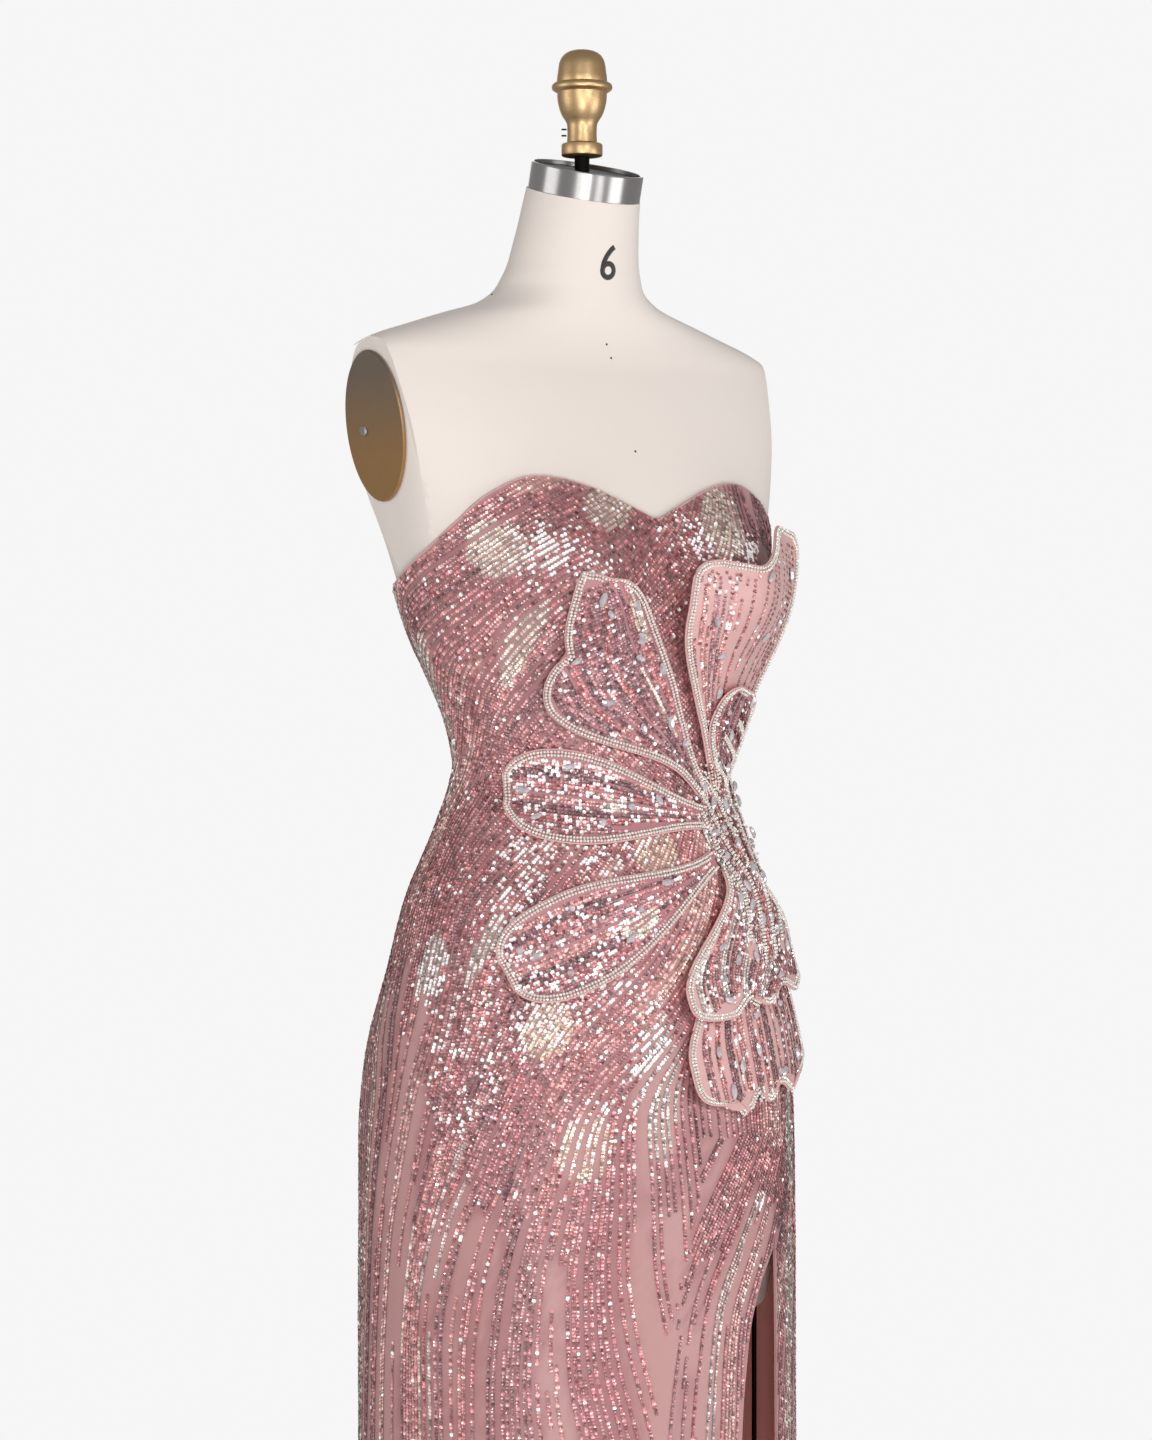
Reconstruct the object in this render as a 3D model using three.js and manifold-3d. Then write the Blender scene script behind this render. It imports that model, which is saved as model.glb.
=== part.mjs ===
// A strapless evening gown on the limbless dress form that carries it.
// Millimetres, +Z up. The front of the gown faces -Y and the wearer's left is +X.
// The origin is on the floor, under the middle of the stand.
import * as THREE from "three";
import { mergeVertices } from "three/addons/utils/BufferGeometryUtils.js";
import Module from "manifold-3d";

const wasm = await Module();
wasm.setup();

// Driving dimensions
const seamGap = 0.3;
const clothGap = 1.7; // between the figure and the inside of the gown
const formInset = 1.5; // the form is this much slimmer than the figure where the gown covers it
const coveredBelow = 1240;
const clothThickness = 1.8;
const ease = clothGap + clothThickness;
const hipHeight = 832;
const hemHeight = 10;
const petalThickness = 1.5;
const petalGap = 1.35; // between a petal and the cloth under it
const petalRootGap = 0.6; // the same where it is sewn down
const formFoot = 664; // the underside of the form
const neckTilt = THREE.MathUtils.degToRad(15);
const ringCentre = new THREE.Vector3(0, -2, 1556); // middle of the neck ring's lower edge
const ringRadius = 45.5;
const ringHeight = 21.5;
const platePlace = new THREE.Vector3(176, 28, 1366);
const plateTilt = THREE.MathUtils.degToRad(8);
const plateSize = { depth: 82, height: 119, thickness: 3 };
const poleRadius = 12.5;
const baseRadius = 150;
const baseHeight = 18;

// The form, bottom to top. Front and back are depths from the pole's axis.
const figureColumns = ["z", "halfWidth", "front", "back"];
const figureRows = [
  [664, 158, 112, 120],
  [667, 163, 116, 124],
  [676, 166.5, 120, 129],
  [704, 170, 124, 133],
  [760, 176, 131, 141],
  [832, 180, 140, 150],
  [880, 176, 137, 142],
  [940, 163, 130, 124],
  [1000, 149, 125, 109],
  [1050, 129.5, 109, 87],
  [1100, 115, 98, 74],
  [1136, 121, 102, 80],
  [1168, 132.5, 109, 93],
  [1200, 146, 113, 106],
  [1240, 159, 112, 114],
  [1280, 171, 102, 114],
  [1310, 182, 90, 116],
  [1340, 194, 76, 115],
  [1366, 204, 64, 112],
  [1400, 206, 48, 98],
  [1418, 204, 39, 89],
  [1430, 195, 35, 83],
  [1438, 178, 33, 80],
  [1447, 150, 32, 77],
  [1457, 118, 32, 75],
  [1466, 87, 33, 74],
  [1476, 68, 34, 73],
  [1492, 57.5, 36, 66],
  [1520, 51, 40, 56.5],
  [1556, 46.5, 47, 45.5],
  [1590, 43, 53, 33],
];
// The skirt below the hip, where the cloth hangs free of the form.
const skirtRows = [
  [10, 214, 173, 187],
  [120, 205, 164, 176],
  [250, 196, 156, 166],
  [400, 189, 149, 158],
  [560, 185.5, 146, 154],
  [664, 185.5, 145.5, 154],
  [760, 185, 145, 154],
];
const bust = {
  x: 78,
  z: 1238,
  above: 62,
  below: 40,
  form: { height: 25, width: 40 },
  gown: { height: 30, width: 50 },
};
// The top edge of the gown: height at each angle from the centre front.
const necklineColumns = ["angle", "z"];
const necklineRows = [
  [0, 1292],
  [8, 1304],
  [18, 1318],
  [30, 1325],
  [45, 1311],
  [60, 1288],
  [75, 1268],
  [95, 1249],
  [120, 1238],
  [150, 1230],
  [180, 1227],
];
// The slit: the angles of its two edges at each height.
const slitTop = 722;
const slitColumns = ["z", "frontEdge", "sideEdge"];
const slitRows = [
  [10, 11, 35],
  [300, 13.5, 34.5],
  [560, 17, 34],
  [625, 19, 33.8],
  [674, 22.5, 33.6],
  [700, 27, 33.4],
  [722, 33, 33],
];
const sideSeam = 95;
// The petals of the flower on the left hip, by where each root lies along the cloth from the centre front.
// Bearing is the way a petal points, anticlockwise from the wearer's left. Left and right are half widths,
// seen from the root, and widest is where, as a share of the length. A side lobe widens the left edge,
// and a curl raises the right side of the tip.
const petalColumns = [
  "name", "arc", "z", "bearing", "length", "left", "right", "root", "widest", "blunt",
  "lobe", "lobeEnd", "slant", "curl", "scallops", "rootHeight", "layer", "lift", "cup",
];
const petalRows = [
  ["petal_upper_right", 53, 1074, 127, 216, 44, 23, 0.2, 0.72, 2.1, 32, 0.79, -9, 0, 0, 0, 0, 3, 4],
  ["petal_bust", 70, 1070, 83.5, 179, 82, 57, 0.14, 0.78, 5, 0, 1, 0, 38, 0, 0, 0, 16, 6],
  ["petal_small", 70, 1078, 79, 88, 34, 36, 0.22, 0.62, 2.8, 0, 1, 0, 0, 0, 2.4, 2.6, 7, 3],
  ["petal_waist", 45, 1058, 173, 172, 34, 40, 0.25, 0.74, 2.6, 0, 1, 0, 0, 0, 0, 0, 3, 4],
  ["petal_hip_right", 45, 1026, 204.5, 206, 37, 37, 0.2, 0.7, 2.8, 0, 1, 0, 0, 0, 0, 0, 3, 4],
  ["petal_hip_front", 71, 1022, 279, 108, 86, 90, 0.22, 0.8, 4.2, 0, 1, 0, 0, 2, 0, 4, 5, 4],
  ["petal_lowest", 72, 945, 279, 106, 100, 84, 0.66, 0.6, 5, 0, 1, 0, 0, 3, 0, 0, 4, 4],
];
const scallopDepth = 5;
const curlFrom = -0.45; // where the curl begins and is full, as shares of the right half
const curlTo = 0.25;

const named = (columns, rows) =>
  rows.map((row) => Object.fromEntries(columns.map((name, i) => [name, row[i]])));
const figure = named(figureColumns, figureRows);
const neckline = named(necklineColumns, necklineRows);
const slit = named(slitColumns, slitRows);
const petals = named(petalColumns, petalRows);
// The gown follows the form from the hip to its top edge.
const gown = [
  ...named(figureColumns, skirtRows),
  ...figure
    .filter((row) => row.z >= hipHeight)
    .map((row) => ({
      z: row.z,
      halfWidth: row.halfWidth + ease,
      front: row.front + ease,
      back: row.back + ease,
    })),
];

// A smooth curve through one column of a table.
function smooth(table, key, column) {
  const at = table.map((row) => row[key]);
  const value = table.map((row) => row[column]);
  const last = at.length - 1;
  const slope = (i) => (value[i + 1] - value[i]) / (at[i + 1] - at[i]);
  const tangent = at.map((_, i) => {
    if (i === 0) return slope(0);
    if (i === last) return slope(last - 1);
    const before = at[i] - at[i - 1];
    const after = at[i + 1] - at[i];
    return (slope(i - 1) * after + slope(i) * before) / (before + after);
  });
  return (x) => {
    const inside = THREE.MathUtils.clamp(x, at[0], at[last]);
    let i = at.findIndex((a) => a > inside) - 1;
    if (i < 0) i = last - 1;
    const step = at[i + 1] - at[i];
    const s = (inside - at[i]) / step;
    return (
      (2 * s ** 3 - 3 * s ** 2 + 1) * value[i] +
      (s ** 3 - 2 * s ** 2 + s) * step * tangent[i] +
      (3 * s ** 2 - 2 * s ** 3) * value[i + 1] +
      (s ** 3 - s ** 2) * step * tangent[i + 1]
    );
  };
}

const bell = (x, width) => Math.exp(-((x / width) ** 2));

// A point on a body whose level sections are the rows of a table. Angle 0 is the centre front.
function bodySurface(table, cup) {
  const halfWidth = smooth(table, "z", "halfWidth");
  const front = smooth(table, "z", "front");
  const back = smooth(table, "z", "back");
  return (angle, z) => {
    const depth = (front(z) + back(z)) / 2;
    const x = halfWidth(z) * Math.sin(angle);
    const y = (back(z) - front(z)) / 2 - depth * Math.cos(angle);
    const side = bell(x - bust.x, cup.width) + bell(x + bust.x, cup.width);
    const rise = bell(z - bust.z, z > bust.z ? bust.above : bust.below);
    const facing = Math.sqrt(Math.max(0, Math.cos(angle)));
    return new THREE.Vector3(x, y - cup.height * side * rise * facing, z);
  };
}
const slimmed = figure.map((row) => {
  const inset = row.z <= coveredBelow ? formInset : 0;
  return { z: row.z, halfWidth: row.halfWidth - inset, front: row.front - inset, back: row.back - inset };
});
const formPoint = bodySurface(slimmed, bust.form);
const plainGown = bodySurface(gown, bust.gown);

// Soft folds that grow from the knee to the hem.
const folds = { top: 640, size: 5 };
function gownBase(angle, z) {
  const point = plainGown(angle, z);
  if (z >= folds.top) return point;
  const growth = ((folds.top - z) / (folds.top - hemHeight)) ** 1.6;
  const wave = Math.cos(5 * angle + 1.1) + 0.5 * Math.cos(8 * angle + 2.3);
  const outward = new THREE.Vector3(point.x, point.y, 0).normalize();
  return point.addScaledVector(outward, folds.size * growth * wave);
}

// The gown's outer face, moved outwards by a distance along its normal.
function gownPoint(angle, z, outwards = 0) {
  const point = gownBase(angle, z);
  if (outwards === 0) return point;
  const across = gownBase(angle + 0.01, z).sub(gownBase(angle - 0.01, z));
  const up = gownBase(angle, z + 1).sub(gownBase(angle, z - 1));
  return point.addScaledVector(across.cross(up).normalize(), outwards);
}

// The angle reached by going a distance round the gown from the centre front.
function angleAlong(arc, z) {
  const step = THREE.MathUtils.degToRad(2) * Math.sign(arc);
  let gone = 0;
  let angle = 0;
  let here = gownBase(0, z);
  while (true) {
    const next = gownBase(angle + step, z);
    const piece = next.distanceTo(here);
    if (gone + piece >= Math.abs(arc)) return angle + (step * (Math.abs(arc) - gone)) / piece;
    gone += piece;
    angle += step;
    here = next;
  }
}

// A closed wall between two sheets of points. From outside, u runs to the right and v upwards.
function wall(outer, inner, columns, rows) {
  const positions = [];
  const indices = [];
  for (const sheet of [outer, inner])
    for (let j = 0; j <= rows; j++)
      for (let i = 0; i <= columns; i++) positions.push(...sheet(i / columns, j / rows));
  const behind = (columns + 1) * (rows + 1);
  const at = (i, j) => j * (columns + 1) + i;
  const quad = (a, b, c, d) => indices.push(a, b, c, a, c, d);
  for (let j = 0; j < rows; j++)
    for (let i = 0; i < columns; i++) {
      const corners = [at(i, j), at(i + 1, j), at(i + 1, j + 1), at(i, j + 1)];
      quad(...corners);
      quad(...corners.reverse().map((corner) => corner + behind));
    }
  for (let i = 0; i < columns; i++) {
    quad(at(i + 1, 0), at(i, 0), at(i, 0) + behind, at(i + 1, 0) + behind);
    quad(at(i, rows), at(i + 1, rows), at(i + 1, rows) + behind, at(i, rows) + behind);
  }
  for (let j = 0; j < rows; j++) {
    quad(at(0, j), at(0, j + 1), at(0, j + 1) + behind, at(0, j) + behind);
    quad(at(columns, j + 1), at(columns, j), at(columns, j) + behind, at(columns, j + 1) + behind);
  }
  const geometry = new THREE.BufferGeometry();
  geometry.setAttribute("position", new THREE.Float32BufferAttribute(positions, 3));
  geometry.setIndex(indices);
  geometry.computeVertexNormals();
  return geometry;
}

// A closed solid through level rings of points, with flat ends.
function loft(ringPoint, heights, segments) {
  const positions = [];
  const indices = [];
  heights.forEach((z) => {
    for (let i = 0; i < segments; i++) positions.push(...ringPoint((i / segments) * 2 * Math.PI, z));
  });
  const at = (i, j) => j * segments + (i % segments);
  const top = heights.length - 1;
  for (let j = 0; j < top; j++)
    for (let i = 0; i < segments; i++) {
      indices.push(at(i, j), at(i + 1, j), at(i + 1, j + 1));
      indices.push(at(i, j), at(i + 1, j + 1), at(i, j + 1));
    }
  for (let i = 1; i < segments - 1; i++) {
    indices.push(at(0, 0), at(i + 1, 0), at(i, 0));
    indices.push(at(0, top), at(i, top), at(i + 1, top));
  }
  const geometry = new THREE.BufferGeometry();
  geometry.setAttribute("position", new THREE.Float32BufferAttribute(positions, 3));
  geometry.setIndex(indices);
  return geometry;
}

// Cutting and joining
function solidOf(geometry) {
  const bare = geometry.clone();
  bare.deleteAttribute("normal");
  bare.deleteAttribute("uv");
  const merged = mergeVertices(bare, 1e-4);
  return new wasm.Manifold(
    new wasm.Mesh({
      numProp: 3,
      vertProperties: new Float32Array(merged.attributes.position.array),
      triVerts: new Uint32Array(merged.index.array),
    }),
  );
}
function geometryOf(solid) {
  const mesh = solid.getMesh();
  const geometry = new THREE.BufferGeometry();
  geometry.setAttribute("position", new THREE.BufferAttribute(mesh.vertProperties, 3));
  geometry.setIndex(new THREE.BufferAttribute(mesh.triVerts, 1));
  geometry.computeVertexNormals();
  return geometry;
}

// Finishes
const finish = (color, roughness, metalness = 0) =>
  new THREE.MeshStandardMaterial({ color, roughness, metalness });
const finishes = {
  sequinCloth: finish(0xb07f80, 0.45),
  petalCloth: finish(0xc99698, 0.45),
  zipTape: finish(0xb98a8a, 0.7),
  cotton: finish(0xece3da, 0.9),
  steel: finish(0x9a9896, 0.28, 1),
  gold: finish(0xc39a58, 0.38, 1),
  bronze: finish(0x85694c, 0.35, 1),
  blackSteel: finish(0x15140f, 0.45, 0.6),
};

const dressedForm = new THREE.Group();
function add(name, geometry, material, parent = dressedForm) {
  const mesh = new THREE.Mesh(geometry, material);
  mesh.name = name;
  parent.add(mesh);
  return mesh;
}

const neckHeight = smooth(neckline, "angle", "z");
const topEdge = (angle) => neckHeight(Math.abs(THREE.MathUtils.radToDeg(angle)));
const frontEdge = smooth(slit, "z", "frontEdge");
const sideEdge = smooth(slit, "z", "sideEdge");
// Moves an edge, given as an angle, by a distance along the cloth.
const roundBy = (degrees, distance, z) =>
  THREE.MathUtils.degToRad(degrees) + distance / (plainGown(Math.PI / 2, z).x * 0.9);

// Rows are shared by all the panels, so that their seams meet: wide on the skirt, close on the bodice.
const panelRows = { count: 28, skirtRows: 10, skirtShare: 0.63 };
function rowHeight(v, low, high) {
  const skirt = panelRows.skirtRows / panelRows.count;
  const share =
    v < skirt
      ? (v / skirt) * panelRows.skirtShare
      : panelRows.skirtShare + ((v - skirt) / (1 - skirt)) * (1 - panelRows.skirtShare);
  return THREE.MathUtils.lerp(low, high, share);
}

// A panel of the gown between two edges, from the hem to the top edge.
function panel(name, rightEdge, leftEdge, columns) {
  const place = (u, v, outwards) => {
    const rim = topEdge(THREE.MathUtils.lerp(rightEdge(rimLevel), leftEdge(rimLevel), u));
    const z = rowHeight(v, hemHeight, rim);
    return gownPoint(THREE.MathUtils.lerp(rightEdge(z), leftEdge(z), u), z, outwards);
  };
  const outer = (u, v) => place(u, v, 0);
  const inner = (u, v) => place(u, v, -clothThickness);
  return add(name, wall(outer, inner, columns, panelRows.count), finishes.sequinCloth);
}

const rimLevel = 1260;
const halfSeam = seamGap / 2;
// The zip's strip closes the back seam: its rows are the panels' own, from the hip to the top edge.
const zip = { halfWidth: 2, firstRow: 14 };
const zipFoot = rowHeight(zip.firstRow / panelRows.count, hemHeight, topEdge(Math.PI));
const backEdge = (z) => (z > zipFoot - 1 ? zip.halfWidth + seamGap : halfSeam);
const slitFront = (z) => roundBy(z < slitTop ? frontEdge(z) : slit.at(-1).frontEdge, -halfSeam, z);
const slitSide = (z) => roundBy(z < slitTop ? sideEdge(z) : slit.at(-1).sideEdge, halfSeam, z);

function buildPanels() {
  panel("front_panel", (z) => roundBy(-sideSeam, halfSeam, z), slitFront, 18);
  panel("side_front_left", slitSide, (z) => roundBy(sideSeam, -halfSeam, z), 8);
  panel("back_left", (z) => roundBy(sideSeam, halfSeam, z), (z) => roundBy(180, -backEdge(z), z), 9);
  panel("back_right", (z) => roundBy(-180, backEdge(z), z), (z) => roundBy(-sideSeam, -halfSeam, z), 9);
  const rows = panelRows.count - zip.firstRow;
  const place = (u, v, outwards) => {
    const row = (zip.firstRow + v * rows) / panelRows.count;
    const z = rowHeight(row, hemHeight, topEdge(Math.PI));
    return gownPoint(roundBy(180, THREE.MathUtils.lerp(-zip.halfWidth, zip.halfWidth, u), z), z, outwards);
  };
  const outer = (u, v) => place(u, v, 0);
  const inner = (u, v) => place(u, v, -clothThickness);
  add("zip", wall(outer, inner, 1, rows), finishes.zipTape);
}

// The half width of a petal at a share t of its length: narrow at the root, round at the tip.
function petalWidth(petal, t) {
  const tipShare = 0.14;
  if (t < petal.widest) {
    return petal.root + (1 - petal.root) * THREE.MathUtils.smoothstep(t, 0, petal.widest);
  }
  const past = (t - petal.widest) / (1 - petal.widest);
  return Math.max(tipShare, (1 - past ** petal.blunt) ** (1 / petal.blunt));
}

// The side lobe swells slowly from the root and ends in a short round shoulder.
function lobeWidth(petal, t) {
  const shoulder = 0.8;
  const along = t / petal.lobeEnd;
  if (along >= 1) return 0;
  if (along < shoulder) return petal.lobe * THREE.MathUtils.smoothstep(along, 0.16, shoulder);
  return petal.lobe * Math.sqrt(1 - ((along - shoulder) / (1 - shoulder)) ** 2);
}

function buildPetal(petal) {
  const columns = 8;
  const rows = 12;
  const bearing = THREE.MathUtils.degToRad(petal.bearing);
  const along = { arc: Math.cos(bearing), z: Math.sin(bearing) };
  const place = (u, v, outwards) => {
    const t = 0.995 * THREE.MathUtils.lerp(v, Math.sin((v * Math.PI) / 2), 0.6);
    const side = 2 * u - 1;
    const left = petal.left * petalWidth(petal, t) + lobeWidth(petal, t);
    const sideways = side * (side < 0 ? left : petal.right * petalWidth(petal, t));
    const wave = petal.scallops > 0 ? scallopDepth * Math.cos(petal.scallops * Math.PI * side) : 0;
    const curl = petal.curl * THREE.MathUtils.smoothstep(sideways / petal.right, curlFrom, curlTo);
    const reach = petal.length * t + (petal.slant * side + curl + wave) * t ** 3;
    const arc = petal.arc + along.arc * reach + along.z * sideways;
    const z = petal.z + along.z * reach - along.arc * sideways;
    const settled = Math.min(1, t * 6);
    const seat = THREE.MathUtils.lerp(petalRootGap + petal.rootHeight, petalGap + petal.layer, settled);
    const lift = petal.lift * t ** 2 + petal.cup * side ** 2 * t;
    return gownPoint(angleAlong(arc, z), z, seat + lift + outwards);
  };
  const outer = (u, v) => place(u, v, petalThickness);
  const inner = (u, v) => place(u, v, 0);
  return add(petal.name, wall(outer, inner, columns, rows), finishes.petalCloth);
}

// The heights of the form's sections: close at its rounded foot, over the shoulders and at the neck.
const formSides = 36;
const formSections = [
  { from: 664, to: 668, step: 3 },
  { from: 676, to: 700, step: 36 },
  { from: 712, to: 1240, step: 42 },
  { from: 1240, to: 1412, step: 22 },
];
const neckSections = [1412, 1424, 1432, 1438, 1444, 1450, 1457, 1464, 1471, 1480, 1494, 1515, 1540, 1590];
function buildForm() {
  const heights = [];
  for (const { from, to, step } of formSections) {
    for (let z = from; z < to; z += step) heights.push(z);
  }
  heights.push(...neckSections);
  let torso = solidOf(loft(formPoint, heights, formSides));
  const cutter = (width, depth, height) => new THREE.BoxGeometry(width, depth, height);
  const aboveRing = cutter(200, 200, 80).translate(0, 0, 40 - seamGap);
  aboveRing.rotateX(neckTilt).translate(...ringCentre);
  torso = torso.subtract(solidOf(aboveRing));
  const plateBed = { width: 60, below: 116, above: 80 };
  for (const side of [-1, 1]) {
    const beside = cutter(plateBed.width, 300, plateBed.below + plateBed.above);
    beside.translate((side * plateBed.width) / 2, 0, (plateBed.above - plateBed.below) / 2);
    beside.rotateY(side * plateTilt);
    beside.translate(side * (platePlace.x - seamGap), platePlace.y, platePlace.z);
    torso = torso.subtract(solidOf(beside));
  }
  add("form_torso", geometryOf(torso), finishes.cotton);
}

function buildArmPlates() {
  for (const side of [-1, 1]) {
    const hand = side < 0 ? "right" : "left";
    const group = new THREE.Group();
    group.position.set(side * platePlace.x, platePlace.y, platePlace.z);
    group.rotation.y = side * plateTilt;
    const outline = new THREE.Shape();
    outline.absellipse(0, 0, plateSize.depth / 2, plateSize.height / 2, 0, 2 * Math.PI);
    const plate = new THREE.ExtrudeGeometry(outline, {
      depth: plateSize.thickness - 2,
      bevelSize: 1,
      bevelThickness: 1,
      bevelOffset: -1,
      bevelSegments: 1,
      curveSegments: 18,
    });
    plate.translate(0, 0, 1);
    plate.rotateX(Math.PI / 2).rotateZ((side * Math.PI) / 2);
    add("arm_plate_" + hand, plate, finishes.bronze, group);
    const screw = new THREE.CylinderGeometry(3.6, 4.4, 1.8, 12).rotateZ(-side * Math.PI / 2);
    screw.translate(side * (plateSize.thickness + seamGap + 0.9), 15, -3);
    add("arm_plate_screw_" + hand, screw, finishes.steel, group);
    dressedForm.add(group);
  }
}

const turned = (profile, segments) =>
  new THREE.LatheGeometry(profile.map(([r, z]) => new THREE.Vector2(r, z)), segments).rotateX(Math.PI / 2);

function buildNeck() {
  const ringGroup = new THREE.Group();
  ringGroup.position.copy(ringCentre);
  ringGroup.rotation.x = neckTilt;
  const wallThickness = 2.5;
  const inside = ringRadius - wallThickness;
  const ring = [
    [inside, 0], [ringRadius, 0], [ringRadius, ringHeight - 1], [ringRadius - 1, ringHeight],
    [inside, ringHeight], [inside, 0],
  ];
  add("neck_ring", turned(ring, 36), finishes.steel, ringGroup);
  const capTop = ringHeight - 3;
  const capRadius = inside - seamGap;
  const cap = [[0, 0], [capRadius, 0], [capRadius, capTop], [0, capTop]];
  add("neck_cap", turned(cap, 32), finishes.blackSteel, ringGroup);
  dressedForm.add(ringGroup);

  const knobFoot = 1587;
  const rod = new THREE.CylinderGeometry(6, 6, 60, 20).rotateX(Math.PI / 2);
  rod.translate(0, 0, knobFoot - seamGap - 30);
  const belowCap = new THREE.BoxGeometry(120, 120, 60).translate(0, 0, capTop + seamGap - 30);
  belowCap.rotateX(neckTilt).translate(...ringCentre);
  add("neck_rod", geometryOf(solidOf(rod).subtract(solidOf(belowCap))), finishes.blackSteel);

  const knobGroup = new THREE.Group();
  knobGroup.position.z = knobFoot;
  const foot = [[0, 0], [15.5, 0], [16.5, 1], [16.5, 8.5], [15.5, 10], [12.2, 10.6], [0, 10.6]];
  add("knob_foot", turned(foot, 24), finishes.gold, knobGroup);
  const bowl = [
    [0, 0], [12.1, 0], [11.9, 13], [12.6, 16], [15.6, 20.5], [18.2, 27], [19.8, 34], [20, 40],
    [22.6, 41.5], [24.4, 43.4], [24.4, 45.6], [22.2, 47.6], [0, 47.6],
  ];
  add("knob_bowl", turned(bowl, 24).translate(0, 0, 10.6 + seamGap), finishes.gold, knobGroup);
  const dome = [
    [0, 0], [20, 0], [20.2, 1.5], [19.2, 10], [18.4, 16], [16.6, 20], [13.4, 23.4], [8.6, 25.6], [0, 26.6],
  ];
  add("knob_dome", turned(dome, 24).translate(0, 0, 58.2 + 2 * seamGap), finishes.gold, knobGroup);
  for (const [name, z] of [["knob_pin_lower", 16.5], ["knob_pin_upper", 21.5]]) {
    const pin = new THREE.CylinderGeometry(0.7, 0.7, 4, 8).rotateZ(Math.PI / 2);
    const turn = THREE.MathUtils.degToRad(35);
    pin.translate(-(12.1 + seamGap + 2), 0, z).rotateZ(-turn);
    add(name, pin, finishes.blackSteel, knobGroup);
  }
  dressedForm.add(knobGroup);
}

function buildStand() {
  const base = [
    [0, 0], [baseRadius - 1, 0], [baseRadius, 1], [baseRadius, 10], [baseRadius - 6, 14], [40, baseHeight],
    [0, baseHeight],
  ];
  add("stand_base", turned(base, 40), finishes.blackSteel);
  const bore = poleRadius + seamGap;
  const socketFoot = baseHeight + seamGap;
  const socket = [
    [bore, socketFoot], [32, socketFoot], [32, 24], [20, 30], [18, 66], [bore, 68], [bore, socketFoot],
  ];
  add("stand_socket", turned(socket, 24), finishes.blackSteel);
  const flangeFoot = formFoot - 8;
  const poleTop = flangeFoot - seamGap;
  const pole = [[0, socketFoot], [poleRadius, socketFoot], [poleRadius, poleTop], [0, poleTop]];
  add("stand_pole", turned(pole, 24), finishes.blackSteel);
  const flange = [
    [0, flangeFoot], [18, flangeFoot], [20, formFoot - 5], [46, formFoot - 4], [46, formFoot - seamGap],
    [0, formFoot - seamGap],
  ];
  add("stand_flange", turned(flange, 28), finishes.blackSteel);
}

// The wire cage under the form: straight wires down to one hoop.
function buildCage() {
  const cage = { halfWidth: 154, front: 108.5, back: 116.5, foot: 424, wire: 2, wires: 6, first: 62 };
  const rim = (angle, z) =>
    new THREE.Vector3(
      cage.halfWidth * Math.sin(angle),
      (cage.back - cage.front) / 2 - ((cage.back + cage.front) / 2) * Math.cos(angle),
      z,
    );
  const length = formFoot - cage.foot - 2 * seamGap;
  for (let k = 0; k < cage.wires; k++) {
    const angle = THREE.MathUtils.degToRad(cage.first + (k * 360) / cage.wires);
    const wire = new THREE.CylinderGeometry(cage.wire, cage.wire, length, 8).rotateX(Math.PI / 2);
    wire.translate(...rim(angle, cage.foot + seamGap + length / 2));
    add("cage_wire_" + (k + 1), wire, finishes.blackSteel);
  }
  const around = 36;
  const section = 6;
  const tube = (v, u) => {
    const angle = v * 2 * Math.PI;
    const turn = u * 2 * Math.PI;
    const centre = rim(angle, cage.foot - cage.wire);
    const outward = new THREE.Vector3(centre.x, centre.y, 0).normalize();
    const height = centre.z + cage.wire * Math.sin(turn);
    return centre.addScaledVector(outward, cage.wire * Math.cos(turn)).setZ(height);
  };
  const positions = [];
  const indices = [];
  for (let j = 0; j < around; j++)
    for (let i = 0; i < section; i++) positions.push(...tube(j / around, i / section));
  const at = (i, j) => (j % around) * section + (i % section);
  for (let j = 0; j < around; j++)
    for (let i = 0; i < section; i++) {
      indices.push(at(i, j), at(i, j + 1), at(i + 1, j + 1));
      indices.push(at(i, j), at(i + 1, j + 1), at(i + 1, j));
    }
  const hoop = new THREE.BufferGeometry();
  hoop.setAttribute("position", new THREE.Float32BufferAttribute(positions, 3));
  hoop.setIndex(indices);
  hoop.computeVertexNormals();
  add("cage_hoop", hoop, finishes.blackSteel);
}

buildPanels();
petals.forEach(buildPetal);
buildForm();
buildArmPlates();
buildNeck();
buildStand();
buildCage();

export default dressedForm;
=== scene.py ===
import math
from collections import deque

import bmesh
import bpy
import numpy as np
from mathutils import Matrix, Vector


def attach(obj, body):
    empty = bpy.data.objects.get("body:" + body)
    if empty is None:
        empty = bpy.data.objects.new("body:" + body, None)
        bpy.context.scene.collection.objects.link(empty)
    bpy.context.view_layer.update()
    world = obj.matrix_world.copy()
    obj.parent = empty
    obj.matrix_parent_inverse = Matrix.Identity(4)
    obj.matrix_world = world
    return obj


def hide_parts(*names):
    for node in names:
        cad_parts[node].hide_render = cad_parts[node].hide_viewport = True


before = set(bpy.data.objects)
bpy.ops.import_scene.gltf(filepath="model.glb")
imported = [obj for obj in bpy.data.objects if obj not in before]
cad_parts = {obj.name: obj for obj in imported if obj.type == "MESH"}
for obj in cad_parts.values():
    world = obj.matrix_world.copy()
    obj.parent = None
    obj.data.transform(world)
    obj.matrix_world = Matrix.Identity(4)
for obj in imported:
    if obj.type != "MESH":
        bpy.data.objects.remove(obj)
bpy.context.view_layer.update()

# A strapless sequinned evening gown on a limbless dress form. Tables are in millimetres, the meshes in metres.
# Angles run round the gown from the centre front, plus to the wearer's left.
mm = 0.001
chance = np.random.default_rng(11)
scene = bpy.context.scene
scene.view_settings.view_transform = "Standard"


# Colours, nodes and meshes

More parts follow.
